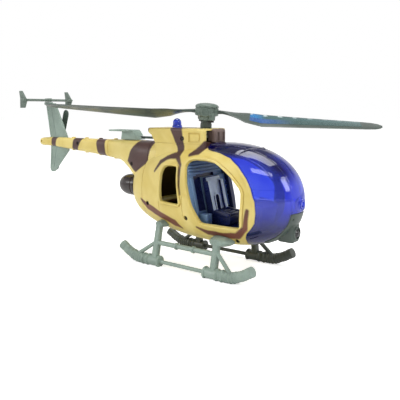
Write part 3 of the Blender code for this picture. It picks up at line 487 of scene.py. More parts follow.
def egg_measure(x, y, z):
    """Below 0 inside the cabin's outer surface and above 0 outside."""
    forward = (x - EGG_X) / (EGG_NOSE if x > EGG_X else EGG_TAIL)
    power = 1 / EGG_POWER if forward > 0 else TAIL_FULLNESS / 2
    fullness = max(1 - abs(forward) ** (EGG_POWER if forward > 0 else 2), 1e-6) ** power
    height = EGG_UP if z > EGG_Z else EGG_DOWN
    across = abs(y) / (EGG_HALF_WIDTH * fullness)
    up = abs(z - EGG_Z) / (height * fullness)
    return across ** EGG_POWER + up ** EGG_POWER - 1


def egg_y(x, z):
    """Half-width of the cabin at a place in side view."""
    return edge_of(lambda y: egg_measure(x, y, z) < 0, 0.0, EGG_HALF_WIDTH)


def egg_z(x, y):
    """Height of the cabin's roof at a place in plan."""
    return edge_of(lambda z: egg_measure(x, y, z) < 0, EGG_Z, EGG_Z + EGG_UP)


def egg_normal(x, y, z):
    place = Vector((x, y, z))
    steps = [Vector(axis) * 0.05 for axis in ((1, 0, 0), (0, 1, 0), (0, 0, 1))]
    return Vector([egg_measure(*(place + step)) - egg_measure(*(place - step))
                   for step in steps]).normalized()


def boom_y(x, z):
    """Half-width of the boom at a place in side view."""
    low, high, half_width = between(BOOM, x)
    up = min(abs(z - (low + high) / 2) / ((high - low) / 2), 1)
    return half_width * (1 - up ** BOOM_POWER) ** (1 / BOOM_POWER)


def boom(inset, end, segments=56):
    """The tail boom's outer surface back to an end, drawn in by an inset."""
    rings = []
    for x, low, high, half_width in smooth_curve(BOOM, 4):
        if x < end - 0.01:
            break
        rings.append(oval_ring(segments, half_width - inset, (high - low) / 2 - inset, BOOM_POWER,
                               lambda y, z: at(x, y, (low + high) / 2 + z)))
    return loft(rings)


def mast_frame(z):
    """The frame of the leaning mast at a height along it."""
    tilt = math.atan2(MAST_AXIS.x, MAST_AXIS.z)
    foot = Matrix.Translation(MAST_PIVOT) @ Matrix.Rotation(tilt, 4, "Y")
    return foot @ Matrix.Translation((0, 0, z * MM - MAST_PIVOT.z))


def mast_turned(profile, segments=64):
    """A turned shape about the mast's axis; heights are above the ground."""
    return turned(profile, mast_frame(0), segments)


# ---------------------------------------------------------------- materials

def srgb(red, green, blue):
    """A colour given as it looks on a screen, 0 to 255, as linear values."""
    shares = (value / 255 for value in (red, green, blue))
    linear = [share / 12.92 if share <= 0.04045 else ((share + 0.055) / 1.055) ** 2.4 for share in shares]
    return (*linear, 1.0)


def shaded(colour, factor):
    """A colour made lighter or darker."""
    return (*(min(value * factor, 1) for value in colour[:3]), 1.0)


class Nodes:
    """Short names for building one material's nodes."""

    def __init__(self, tree):
        self.tree = tree

    def add(self, kind, **values):
        node = self.tree.nodes.new("ShaderNode" + kind)
        for name, value in values.items():
            setattr(node, name, value)
        return node

    def put(self, socket, value):
        if isinstance(value, bpy.types.NodeSocket):
            self.tree.links.new(value, socket)
        else:
            socket.default_value = value

    def math(self, operation, *values, clamp=False):
        node = self.add("Math", operation=operation, use_clamp=clamp)
        for index, value in enumerate(values):
            self.put(node.inputs[index], value)
        return node.outputs[0]

    def split(self, value):
        node = self.add("SeparateXYZ")
        self.put(node.inputs[0], value)
        return node.outputs

    def place(self):
        return self.add("TexCoord").outputs["Object"]

    def noise(self, size, detail=2.0, distortion=0.0, output="Fac"):
        """Noise whose features have a size in millimetres."""
        node = self.add("TexNoise")
        set_inputs(node, {"Scale": 1 / (size * MM), "Detail": detail, "Distortion": distortion})
        self.put(node.inputs["Vector"], self.place())
        return node.outputs[output]

    def range(self, value, low, high, to_low=0, to_high=1):
        node = self.add("MapRange", interpolation_type="SMOOTHSTEP")
        limits = {"Value": value, "From Min": low, "From Max": high, "To Min": to_low, "To Max": to_high}
        for name, entry in limits.items():
            self.put(node.inputs[name], entry)
        return node.outputs["Result"]

    def mix(self, share, first, second):
        node = self.add("Mix", data_type="RGBA")
        for index, value in ((0, share), (6, first), (7, second)):
            self.put(node.inputs[index], value)
        return node.outputs[2]


def set_inputs(node, values):
    for name, value in values.items():
        node.inputs[name].default_value = value


def shader_material(name):
    made = bpy.data.materials.new(name)
    made.use_nodes = True
    return made, Nodes(made.node_tree), made.node_tree.nodes["Principled BSDF"]


def grain(nodes, shader, size, depth, rough, spread, height=None):
    """Fine moulded texture: uneven roughness, and a bump of speckle with a slow ripple."""
    cloud = nodes.math("ADD", nodes.math("MULTIPLY", nodes.noise(size, 3.0), 0.6),
                       nodes.math("MULTIPLY", nodes.noise(14), 0.4))
    nodes.put(shader.inputs["Roughness"], nodes.range(cloud, 0.35, 0.65, rough - spread, rough + spread))
    bump = nodes.add("Bump")
    set_inputs(bump, {"Distance": depth * MM, "Strength": 0.6})
    nodes.put(bump.inputs["Height"], cloud if height is None else nodes.math("ADD", cloud, height))
    nodes.put(shader.inputs["Normal"], bump.outputs["Normal"])


def plastic(name, colour, rough=0.4, shift=0.1, size=0.5, depth=0.03, coat=0.0):
    """Moulded plastic: one colour that drifts a little, with speckle and soft flow marks."""
    made, nodes, shader = shader_material(name)
    drift = nodes.math("ADD", nodes.math("MULTIPLY", nodes.noise(22, 3.0, 0.8), 0.75),
                       nodes.math("MULTIPLY", nodes.noise(1.2), 0.25))
    nodes.put(shader.inputs["Base Color"],
              nodes.mix(nodes.range(drift, 0.35, 0.65), shaded(colour, 1 - shift),
                                                     shaded(colour, 1 + shift)))
    set_inputs(shader, {"IOR": 1.5, "Coat Weight": coat, "Coat Roughness": 0.15})
    grain(nodes, shader, size, depth, rough, rough * 0.22)
    return made


def stroke_segment():
    """How far a place in side view lies inside one segment of a brush stroke: above 0 inside."""
    tree = bpy.data.node_groups.new("brush_stroke", "ShaderNodeTree")
    for name in ("X", "Z", "Start X", "Start Z", "Along X", "Along Z", "Inverse", "Half", "Taper"):
        tree.interface.new_socket(name, in_out="INPUT", socket_type="NodeSocketFloat")
    tree.interface.new_socket("Depth", in_out="OUTPUT", socket_type="NodeSocketFloat")
    nodes = Nodes(tree)
    given = tree.nodes.new("NodeGroupInput").outputs
    offset_x = nodes.math("SUBTRACT", given["X"], given["Start X"])
    offset_z = nodes.math("SUBTRACT", given["Z"], given["Start Z"])
    reach = nodes.math("MULTIPLY_ADD", offset_x, given["Along X"],
                       nodes.math("MULTIPLY", offset_z, given["Along Z"]))
    share = nodes.math("MULTIPLY", reach, given["Inverse"], clamp=True)
    away_x = nodes.math("SUBTRACT", offset_x, nodes.math("MULTIPLY", share, given["Along X"]))
    away_z = nodes.math("SUBTRACT", offset_z, nodes.math("MULTIPLY", share, given["Along Z"]))
    squared = nodes.math("MULTIPLY_ADD", away_x, away_x, nodes.math("MULTIPLY", away_z, away_z))
    half = nodes.math("MULTIPLY_ADD", given["Taper"], share, given["Half"])
    result = tree.nodes.new("NodeGroupOutput")
    nodes.put(result.inputs["Depth"], nodes.math("SUBTRACT", half, nodes.math("SQRT", squared)))
    return tree


def stroke_depths(nodes, x_place, z_place, found):
    """The deepest of a value so far and the depths inside the brush strokes."""
    segment = stroke_segment()
    for stroke in STROKES:
        for (x, z, half), (far_x, far_z, far_half) in zip(stroke, stroke[1:]):
            start = at(x, 0, z)
            along = at(far_x, 0, far_z) - start
            node = nodes.add("Group", node_tree=segment)
            nodes.put(node.inputs["X"], x_place)
            nodes.put(node.inputs["Z"], z_place)
            set_inputs(node, {"Start X": start.x, "Start Z": start.z, "Along X": along.x, "Along Z": along.z,
                              "Inverse": 1 / along.length_squared, "Half": half * MM,
                              "Taper": (far_half - half) * MM})
            found = nodes.math("SMOOTH_MAX", found, node.outputs["Depth"], 0.8 * MM)
    return found


def patch_depth(nodes, x_place, z_place):
    """How deep a place lies inside the patch with straight sides, drawn clockwise from its top left."""
    found = 1.0
    for (x, z), (far_x, far_z) in zip(PATCH, PATCH[1:] + PATCH[:1]):
        inward = Vector((far_z - z, 0, x - far_x)).normalized()
        reach = nodes.math("MULTIPLY_ADD", x_place, inward.x, nodes.math("MULTIPLY", z_place, inward.z))
        depth = nodes.math("SUBTRACT", reach, inward.dot(at(x, 0, z)))
        found = nodes.math("SMOOTH_MIN", found, depth, 1.0 * MM)
    return found


def camouflage():
    """Sand-yellow plastic with brown stripes sprayed through a mask, so their edges are soft."""
    made, nodes, shader = shader_material("sprayed_sand_plastic")
    place = nodes.split(nodes.place())
    cloud = nodes.split(nodes.noise(13, 1.0, output="Color"))
    x_place, z_place = (nodes.math("MULTIPLY_ADD", nodes.math("SUBTRACT", cloud[axis], 0.5), 2 * MM,
                                   place[axis])
                        for axis in (0, 2))
    deepest = stroke_depths(nodes, x_place, z_place, patch_depth(nodes, x_place, z_place))
    mist = nodes.math("MULTIPLY", nodes.math("SUBTRACT", nodes.noise(0.7), 0.5), 0.5 * MM)
    cover = nodes.range(nodes.math("ADD", deepest, mist), -0.7 * MM, 0.8 * MM)
    low = nodes.range(place[2], 45 * MM, 70 * MM, 1, 0)
    brown = nodes.mix(low, srgb(82, 56, 52), srgb(118, 66, 48))
    brown = nodes.mix(nodes.range(nodes.noise(30), 0.35, 0.65, 0, 0.4), brown, srgb(62, 38, 34))
    drift = nodes.range(nodes.noise(26, 3.0, 0.6), 0.35, 0.65)
    sand = nodes.mix(drift, srgb(219, 196, 106), srgb(230, 210, 128))
    nodes.put(shader.inputs["Base Color"], nodes.mix(cover, sand, brown))
    set_inputs(shader, {"IOR": 1.5, "Subsurface Weight": 0.06, "Subsurface Radius": (1.0, 0.7, 0.25),
                        "Subsurface Scale": 1.2 * MM})
    grain(nodes, shader, 0.6, 0.02, 0.36, 0.07, nodes.math("MULTIPLY", cover, 0.25))
    return made


def clear_blue():
    """Polished blue see-through plastic with painted dark blue: painted reflection of the dim ceiling on the
    crown and the rear top, and painted shade on the foot.
    """
    made, nodes, shader = shader_material("clear_blue_plastic")
    _, y_place, z_place = nodes.split(nodes.place())
    bright = nodes.mix(nodes.range(nodes.noise(20), 0.35, 0.65), srgb(56, 78, 255), srgb(76, 100, 255))
    wide = nodes.math("ABSOLUTE", y_place)
    # Painted reflection: dark blue on the crown band and the rear top. Painted shade: dark blue on the foot.
    crown = nodes.math("MULTIPLY", nodes.range(wide, 4 * MM, 9 * MM, 0.55, 1),
                       nodes.range(wide, 11 * MM, 17 * MM, 1, 0))
    crown = nodes.math("MULTIPLY", crown, nodes.range(z_place, 72 * MM, 84 * MM))
    rear_top = nodes.range(z_place, 90 * MM, 95 * MM)
    below_beacon = nodes.range(z_place, 102 * MM, 106 * MM, 1, 0)
    top = nodes.math("MULTIPLY", nodes.math("MAXIMUM", crown, rear_top), below_beacon)
    foot = nodes.range(z_place, 36 * MM, 60 * MM, 0.9, 0)
    nodes.put(shader.inputs["Base Color"],
              nodes.mix(nodes.math("MAXIMUM", top, foot), bright, srgb(16, 16, 110)))
    set_inputs(shader, {"Transmission Weight": 0.75, "IOR": 1.5, "Coat Weight": 0.6, "Coat Roughness": 0.03})
    grain(nodes, shader, 3.0, 0.01, 0.05, 0.02)
    return made


def sticker():
    """A foil label with generic blue bands and white dashes, drawn along the label's own length."""
    made, nodes, shader = shader_material("striped_label")
    along, across, _ = nodes.split(nodes.add("UVMap").outputs["UV"])
    lower = nodes.mix(nodes.range(along, 0.08, 0.45), srgb(56, 98, 160), srgb(70, 98, 96))
    upper = nodes.mix(nodes.range(along, 0.04, 0.16), srgb(40, 128, 190), srgb(70, 104, 104))
    field = nodes.mix(nodes.range(across, 0.42, 0.58), lower, upper)
    phase = nodes.math("ADD", nodes.math("MULTIPLY", along, 46.0),
                       nodes.math("MULTIPLY", nodes.noise(6.25), 3.0))
    dash = nodes.math("MULTIPLY", nodes.range(nodes.math("SINE", phase), 0.45, 0.75),
                      nodes.range(across, 0.8, 0.9))
    dash = nodes.math("MULTIPLY", dash, nodes.range(along, 0.25, 0.7, 0.9, 0.25))
    nodes.put(shader.inputs["Base Color"], nodes.mix(dash, field, srgb(225, 240, 240)))
    grain(nodes, shader, 0.8, 0.004, 0.28, 0.05)
    return made


def steel(name, colour, rough):
    """Screw steel with fine turning marks."""
    made, nodes, shader = shader_material(name)
    mark = nodes.range(nodes.noise(0.3, 4.0), 0.3, 0.7)
    nodes.put(shader.inputs["Base Color"], nodes.mix(mark, shaded(colour, 0.7), colour))
    set_inputs(shader, {"Metallic": 1.0})
    grain(nodes, shader, 0.3, 0.01, rough, 0.1)
    return made


MATERIALS = {
    "paint": camouflage(),
    # The shell's inside: bare sand plastic made dark, painted shade inside the body.
    "inside": plastic("bare_sand_painted_shade", srgb(112, 92, 40), 0.45),
    "intake": plastic("sprayed_intake_plastic", srgb(118, 98, 92), 0.4, 0.16),
    "grey": plastic("grey_green_plastic", srgb(140, 158, 147), 0.34, 0.12),
    "hub": plastic("hub_plastic", srgb(104, 119, 109), 0.32, 0.14),
    # The mast's grey made darker: painted shade across its front.
    "mast": plastic("mast_grey_painted_shade", srgb(62, 73, 65), 0.24, 0.12, coat=0.3),
    "far": plastic("dark_grey_plastic", srgb(74, 86, 79), 0.34, 0.12),
    # The far skid's darker copy of the skid grey: painted shade on the side that lies in the body's shadow.
    "shade": plastic("far_skid_painted_shade_grey", srgb(72, 78, 70), 0.34, 0.12),
    "blue": clear_blue(),
    # The cockpit's grey plastic with a painted blue cast: the light that falls through the blue canopy.
    "interior": plastic("cockpit_plastic", srgb(112, 142, 176), 0.4, 0.14),
    "seat": plastic("seat_plastic", srgb(222, 240, 244), 0.36, 0.1),
    # Dark blue for the cockpit's recesses, slots, floor, seat sides and the far wall's flange: painted shade.
    "cockpit_shade": plastic("cockpit_painted_shade", srgb(26, 36, 84), 0.32, 0.2),
    "nozzle": plastic("brown_black_plastic", srgb(34, 22, 20), 0.14, 0.2, 1.6, 0.01, 0.4),
    "black": plastic("gloss_black_plastic", srgb(22, 22, 24), 0.12, 0.1, 1.6, 0.01, 0.5),
    "nylon": plastic("white_nylon", srgb(212, 210, 198), 0.36, 0.05),
    "label": sticker(),
    "screw": steel("black_steel", srgb(70, 66, 64), 0.4),
    "bright": steel("bright_steel", srgb(176, 176, 174), 0.26),
}


def dress(item, name, look, body, extra=None, angle=32):
    """Give a piece its name and material, smooth its round faces, and tie it to its body.

    With an extra look, the faces marked with a second material keep it.
    """
    item.name = name
    marks = [min(face.material_index, 1) for face in item.data.polygons]
    item.data.materials.clear()
    item.data.materials.append(MATERIALS[look])
    if extra:
        item.data.materials.append(MATERIALS[extra])
        for face, mark in zip(item.data.polygons, marks):
            face.material_index = mark
    item.data.shade_smooth()
    item.data.set_sharp_from_angle(angle=math.radians(angle))
    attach(item, body)


def finish(item, node, look, body="airframe", **details):
    """Dress the fine shape of a CAD node, which it replaces."""
    dress(item, node + "_fine", look, body, **details)
    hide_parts(node)


# ---------------------------------------------------------------- cabin, cowl and boom shells

def outer_envelope(inset=0.0, boom_end=BOOM[-1][0]):
    """Cabin, cowl and boom in one solid, drawn in by an inset."""
    cowl = side_prism(grown(COWL_SIDE, -inset), inset - COWL_HALF_WIDTH, COWL_HALF_WIDTH - inset)
    if inset == 0:
        soften(cowl, 1.6, 5)
    return fuse(egg(inset), cowl, boom(inset, boom_end))


def edge_bead(path, middle, side, section, closed):
    """A bead that follows a line in side view along the cabin's surface, round the opening's middle.

    The section's points are distances away from the opening and out of the surface.
    """
    rings = []
    for index, (x, z) in enumerate(path):
        y = side * egg_y(x, z)
        normal = egg_normal(x, y, z)
        before = path[index - 1] if closed or index else path[0]
        after = path[(index + 1) % len(path)] if closed or index < len(path) - 1 else path[-1]
        ahead = Vector((after[0] - before[0], side * (egg_y(*after) - egg_y(*before)), after[1] - before[1]))
        away = ahead.cross(normal).normalized()
        if away.dot(Vector((x - middle[0], 0, z - middle[1]))) < 0:
            away = -away
        rings.append([at(*(Vector((x, y, z)) + away * across + normal * up)) for across, up in section])
    return loft(rings, closed)


def rounded_section(width, proud, depth, inner=0.0, radius=0.55):
    """A bar section with two rounded outer corners, from its inner lip outward."""
    right = arc((width - radius, proud - radius), radius, 0, 90, 4)
    left = arc((inner + radius, proud - radius), radius, 90, 180, 4)
    return [(inner, -depth), (width, -depth)] + right + left


def opening_beads(side, section):
    """One closed bead of a section round the door way and one round the rear window."""
    return [edge_bead(round_corners(outline), middle, side, section, True)
            for outline, middle in ((DOOR, (26, 62)), (WINDOW, (-18, 67)))]


def grooves():
    """Panel lines: thin slabs that reach half a millimetre into the surface."""
    spans = ((-52.85, -52.35, 20, 120), (-107.45, -106.95, 20, 120), (-181.2, -180.8, 80, 120),
             (-43.2, 9.2, 99.3, 99.7), (-3.9, -3.4, 43, 60), (-30.6, -30.1, 45, 54))
    slabs = [box((x, -40, z), (far_x, 40, far_z)) for x, far_x, z, far_z in spans]
    return cut(group(*slabs), outer_envelope(0.5))


def recessed_frames():
    """The framed hatch in each side of the cowl and the hatch in its roof."""
    hatch = [(-6.9, 100.9), (4.4, 100.9), (4.4, 108.2), (-6.9, 108.2)]
    frames = [cut(side_prism(hatch, right, left), side_prism(grown(hatch, -1.1), -16, 16))
              for right, left in ((-15, -13.3), (13.3, 15))]
    return frames + [box((-12.5, -4.6, COWL_TOP - 0.7), (-6.2, 4.6, COWL_TOP + 1))]


def openings():
    """Holes and slots through the shell's wall."""
    cradle_x, cradle_z = CRADLE_SCREW
    mouth = box((5, -12.5, 101.2), (20, 12.5, COWL_TOP - WALL))
    rack_gate = box((-60, 1.6, 100.2), (-40, 6.7, 103.6))
    slider_slot = box((-92, -2.6, 96), (-61, 2.6, 101))
    mast_hole = mast_turned([(0, 116), (MAST_RADIUS + 0.3, 116), (MAST_RADIUS + 0.3, 104), (0, 104)])
    beacon_hole = rod((-30, 0, 105), (-30, 0, 115), 2.3)
    fin_slot = box((-200.1, -FIN_HALF - 0.1, 80), (-171.9, FIN_HALF + 0.1, 110))
    tail_hole = rod((-225, 0, 94), (-206, 0, 94), 1.5)
    tip_hole = rod((-211.4, -20, 94.4), (-211.4, 0, 94.4), 1.2)
    cradle_hole = rod((cradle_x, -20, cradle_z), (cradle_x, -12, cradle_z), 2.0)
    cutters = [mouth, rack_gate, slider_slot, mast_hole, beacon_hole, fin_slot, tail_hole, tip_hole,
               cradle_hole]
    for x, z in SCREWS:
        bottom = 3.0 - egg_y(x, z) if x > -60 else 2.0 - boom_y(x, z)
        cutters.append(rod((x, -40, z), (x, bottom, z), SCREW_HEAD_RADIUS + 0.25))
    return cutters


def seam_clips():
    """The small rounded clips over the boom's seam, top and bottom."""
    places = [(x, z) for x in (-163.7, -144.1, -124.1, -103.7) for z in between(BOOM, x)[:2]]
    return [soften(box((x - 1.5, -1.7, z - 0.9), (x + 1.5, 1.7, z + 0.9)), 0.6) for x, z in places]


def shell():
    """Both halves of the body in one piece, still joined on the middle plane."""
    body = fuse(outer_envelope(), group(*seam_clips()))
    hollow = outer_envelope(WALL, BOOM_CAVITY_END)
    # The cavity's faces take the dark inner sand, painted shade.
    for face in hollow.data.polygons:
        face.material_index = 1
    body.data.materials.append(MATERIALS["paint"])
    body.data.materials.append(MATERIALS["inside"])
    cut(body, hollow)
    for x, z in SCREWS[:4]:
        post = rod((x, -60, z), (x, 60, z), 3.0)
        fuse(body, keep_inside(post, outer_envelope(WALL / 2, BOOM_CAVITY_END)))
    cut(body, side_prism(CANOPY_SIDE, -60, 60))
    cut(body, group(*[side_prism(grown(round_corners(outline), 0.4), -60, 60) for outline in (DOOR, WINDOW)]))
    return cut(body, grooves(), group(*recessed_frames()), *openings())


def shell_half(whole, side):
    """One half of the shell with its rims, their gutters and the lip along the canopy."""
    half = add_object("half", whole.data.copy())
    right, left = (-70, -SEAM / 2) if side < 0 else (SEAM / 2, 70)
    keep_inside(half, box((-230, right, -10), (120, left, 200)))
    curve = smooth_curve([(x, z, 0) for x, z in CANOPY_REAR[4:]], 5)
    lip_section = rounded_section(1.1, 0.35, 1.2, -0.75, 0.3)
    lip = edge_bead([(spot.x - 0.9, spot.y) for spot in curve], (80, 60), side, lip_section, False)
    outer = RIM + 0.5
    gutter = [(RIM - 0.2, -0.5), (outer, -0.5), (outer, 1.2), (RIM - 0.2, 1.2)]
    cut(half, *opening_beads(side, gutter))
    return fuse(half, *opening_beads(side, rounded_section(RIM, RIM_PROUD, WALL + 0.15)), lip)


def body_shells():
    whole = shell()
    for node, side in (("body_shell_right", -1), ("body_shell_left", 1)):
        finish(shell_half(whole, side), node, "paint", extra="inside")
    bpy.data.objects.remove(whole, do_unlink=True)


# ---------------------------------------------------------------- nose

def canopy_bands(bubble):
    """Raise the canopy's crown, spine and belt, each a thicker slab of the same egg."""
    for rise, low, high in ((0.5, (0, -16.5, 78), (90, 16.5, 120)), (1.0, (0, -9.6, 54), (90, 9.6, 120)),
                            (0.5, (0, -40, 63.2), (90, 40, 70))):
        fuse(bubble, soften(keep_inside(egg(-rise, 128, 96), box(low, high)), 0.25, 2, 50))
    return bubble


def visor():
    """The arched rib across the crown."""
    stations = []
    for step in range(-15, 16):
        y = step * 1.1
        x = VISOR_X - 0.85 * abs(y) + 0.006 * y ** 2
        taper = 1 - (abs(step) / 16) ** 4
        stations.append(((x, y, egg_z(x, y) + 0.5), 1.1 * taper))
    return tube(stations, 16)


def windshield():
    bubble = cut(fuse(canopy_bands(egg(0, 128, 96)), visor()), egg(WALL))
    keep_inside(bubble, side_prism(grown(CANOPY_SIDE, -0.2), -60, 60))
    chin_side = CHIN_HALF_WIDTH + 0.15
    chin_room = box((CHIN_BACK - 0.2, -chin_side, 0), (100, chin_side, CHIN_TOP + 0.15))
    cut(bubble, chin_room, box((-20, -7.2, 97), (14.6, 7.2, 120)))
    boss = [(0, 2.2), (1.9, 2.2), (2.1, 2.9), (2.9, 2.9), (3.1, 2.3)] + arc((4.2, 1.7), 1.0, 75, 0, 5)
    fuse(bubble, turned(boss + [(5.3, -1.8), (0, -1.8)], placed(83.4, 0, 58.8, QUARTER), 48))
    cut(bubble, *[rod((53.2, side * 17.3, 32.1), (60, side * 17.4, 35.4), 0.55, 16) for side in (-1, 1)])
    finish(bubble, "windshield", "blue", angle=25)


def chin_fairing():
    strip = cut(egg(-0.6), egg(WALL))
    keep_inside(strip,
                soften(box((CHIN_BACK, -CHIN_HALF_WIDTH, 0), (100, CHIN_HALF_WIDTH, CHIN_TOP)), 0.8, 4))
    camera_block = soften(box((69, -5.6, 30.0), (82.0, 5.6, 44.4)), 2.0, 6)
    fuse(strip, cut(camera_block, egg(WALL)))
    cut(strip, rod((80.6, 0, 37), (90, 0, 37), 3.9, 48))
    ring = [(4.0, 1.0), (5.0, 0.7), (5.2, 0), (5.2, -1.4), (4.0, -1.4), (4.0, 1.0)]
    fuse(strip, turned(ring, placed(82.0, 0, 37, QUARTER), 48))
    places = [(side * 7.2, z) for side in (-1, 1) for z in (48.5, 28.5)]
    rivet_wells = group(*[rod((90, y, z), (60, y, z), 0.7, 16) for y, z in places])
    cut(strip, cut(rivet_wells, egg(0.1)))
    finish(strip, "chin_fairing", "far")


def nose_camera_lens():
    profile = [(0, 1.9)] + arc((0, -1.4), 3.3, 78, 35, 5) + [(3.0, 0.2), (3.4, 0.2), (3.4, -1.2), (0, -1.2)]
    finish(turned(profile, placed(82.1, 0, 37, QUARTER)), "nose_camera_lens", "black")


def air_intake():
    """The box that fills the middle of the cowl's mouth, with its two louvres."""
    outline = [(9.9, 100.7), (14.3, 100.5), (14.3, 109.4), (13.4, 111.4), (9.9, 111.4)]
    front = soften(side_prism(outline, -6.8, 6.8), 1.2, 5)
    fuse(front, box((6.4, -6.0, 102), (11, 6.0, 109.4)))
    cut(front, box((4, -4.8, 103), (12.6, 4.8, 108.6)))
    for y in (-3.4, 3.4):
        cut(front, soften(box((12, y - 1.6, 102.2), (16, y + 1.6, 108.9)), 0.5))
        fuse(front, soften(box((12.2, y - 0.75, 102.0), (14.0, y + 0.75, 109.1)), 0.35))
    cut(front, soften(box((9, -2.4, 110.7), (13.0, 2.4, 113)), 0.4))
    finish(front, "air_intake", "intake")


# ---------------------------------------------------------------- fittings on the body

def exhaust_nozzle():
    mouth = [(0, 19.2), (2.2, 19.2), (2.5, 19.9), (2.8, 21.2), (3.4, 21.6), (4.2, 21.2)]
    angles = [math.radians(9 * step) for step in range(1, 11)]
    dome = [(3.6 + 6.2 * math.sin(angle), 9.0 + 12.2 * math.cos(angle)) for angle in angles]
    foot = [(9.8, 4.4), (9.4, 4.2), (9.4, 3.6), (9.8, 3.4), (9.8, 0), (0, 0)]
    nozzle = turned(mouth + dome + foot, placed(-74.2, 0, 59.2, -QUARTER))
    finish(cut(nozzle, outer_envelope(-0.15)), "exhaust_nozzle", "nozzle")


def beacon_lens():
    low = COWL_TOP + 0.1
    foot = [(3.6, 113.6), (3.9, 113.4), (4.1, 113.1), (4.1, low), (2.0, low), (2.0, 107), (0, 107)]
    dome = [(0, 119.2)] + arc((0, 115.6), 3.6, 85, 0, 10)
    finish(turned(dome + foot, placed(-30, 0, 0)), "beacon_lens", "blue")


def tail_fin():
    upper = [(-172.8, 98.2), (-190.2, 133), (-204, 133.4), (-200, 104), (-199.8, 98.2)]
    lower = [(-199.8, 90.4), (-200, 86), (-203, 66), (-201.6, 63.6), (-199.6, 62.8), (-196.4, 63.2),
             (-172.2, 86),
             (-172.2, 90.4)]
    plate = soften(side_prism(upper + lower, -FIN_HALF, FIN_HALF), 0.55, 4)
    fuse(plate, soften(box((-205.6, -2.4, 131.4), (-196.6, 2.4, 134.2)), 0.8, 4))
    rudders = ([(-201.4, 130), (-203.2, 130), (-199.3, 101), (-197.9, 101)],
               [(-201.2, 70), (-199.6, 70), (-197.7, 87), (-199.2, 87)])
    fuse(plate, *[soften(side_prism(outline, -1.65, 1.65), 0.3, 2) for outline in rudders])
    lines = ([(-195.2, 129), (-195.6, 129), (-190.7, 101), (-190.3, 101)],
             [(-196.0, 69), (-195.6, 69), (-190.6, 88), (-191.0, 88)])
    cut(plate, *[side_prism(outline, *span) for outline in lines for span in ((-2, -0.9), (0.9, 2))])
    x, z = TAIL_HUB
    cut(plate, rod((x, -9, z), (x, 9, z), 1.3))
    finish(plate, "tail_fin", "grey")


def tail_stabiliser():
    """The cross bar on the fin's head with an end plate at each tip."""
    span = STABILISER_HALF_SPAN
    section = [(-206.4, 135.2), (-203, 134.8), (-199, 134.9), (-197.2, 135.5), (-196.6, 136.2),
               (-197.2, 136.9),
               (-199, 137.3), (-203, 137.4), (-206.4, 137.1)]
    bar = side_prism(section, -span, span)
    plate = [(-209.4, 128.4), (-202, 128.4), (-198, 135.6), (-205, 145), (-209.6, 145), (-208.6, 138)]
    for tip in (-span, span):
        fuse(bar, soften(side_prism(plate, tip - 0.8, tip + 0.8), 0.5, 4))
        fuse(bar, soften(box((-206, tip - 2.6, 134.7), (-198.4, tip + 0.4, 137.8)), 0.6))
    fuse(bar, soften(box((-205.2, -2.2, 134.5), (-197.6, 2.2, 138)), 0.8, 4))
    cut(bar, *[box((-204.0, y - 10.5, 137), (-203.6, y + 10.5, 138)) for y in (-14, 14)])
    finish(bar, "tail_stabilizer", "hub")


def tail_rotor():
    """Two blades and a hub in one moulding on the left of the boom."""
    x, z = TAIL_HUB
    profile = [(1.4, 1.8), (2.4, 1.8)] + arc((2.6, 1.0), 0.8, 80, 0, 4) + [(3.4, -2.4), (1.4, -2.4),
                                                                           (1.4, 1.8)]
    hub = turned(profile, Matrix.Translation(TAIL_AXLE) @ Matrix.Rotation(-QUARTER, 4, "X"), 48)
    # Along the blade: distance, half-chord, thickness
    stations = smooth_curve([(2.6, 1.2, 1.6), (6, 1.6, 1.5), (12, 3.4, 1.4), (20, 3.6, 1.3), (29, 3.6, 1.2),
                             (32, 2.6, 1.0), (TAIL_ROTOR_RADIUS, 1.2, 0.7)], 4)
    for side in (-1, 1):
        rings = []
        for reach, half_chord, thick in stations:
            rings.append(oval_ring(20, half_chord, thick / 2, 2, lambda across, out: at(
                x + side * across, TAIL_ROTOR_Y + out + side * across * 0.15, z + side * reach)))
        fuse(hub, loft(rings))
    axle = Matrix.Translation(TAIL_AXLE)
    hub.data.transform(axle @ Matrix.Rotation(TAIL_ROTOR_LEAN, 4, "Y") @ axle.inverted())
    finish(hub, "tail_rotor", "far", "rear_rotor")


# ---------------------------------------------------------------- skids

def sleeve_stations(x_sign, shift):
    """The corrugated sleeve: a straight run, a bend, a rise, with ribs near the bend."""
    path = [(21.7, SKID_Z), (30, SKID_Z), (38, SKID_Z), (44.5, SKID_Z + 0.05), (47.6, SKID_Z + 0.45),
            (50.2, SKID_Z + 1.4), (56, 7.8), (61.6, 11.1), (64, 12.4)]
    spots = smooth_curve([(x, 0, z) for x, z in path], 16)
    stations = []
    for index, spot in enumerate(spots):
        rib = RIB * (0.5 + 0.5 * math.cos(2 * math.pi * spot.x / 2.3)) if 33.5 < spot.x < 52 else 0.2
        ring = 0.24 if 53.6 < spot.x < 54.8 or 58.8 < spot.x < 60 else 0
        end = 0.5 if index in (0, len(spots) - 1) else 0
        stations.append(((x_sign * spot.x + shift, SKID_Y, spot.z), SLEEVE_RADIUS - RIB + rib - ring - end))
    return stations


def strut(x, top_y, top_z):
    """A square leg with rounded corners, from the skid's axis up into the cabin's side."""
    rings = []
    for y, z, half in ((SKID_Y, SKID_Z, 2.7), (top_y, top_z, 2.4)):
        rings.append(oval_ring(28, half, half, 7, lambda across, out: at(x + across, y + out, z)))
    return loft(rings)


def strut_pad(x, y, z, top, radius, foot, spread):
    """The oval pad where a strut meets the cabin; its profile is stretched forward and up."""
    profile = [(0, top)] + arc((radius, top - 0.7), 0.7, 90, 0, 4) + foot + [(0, 0)]
    return turned(profile, placed(x, y, z, -QUARTER, "X") @ Matrix.Diagonal((*spread, 1)))


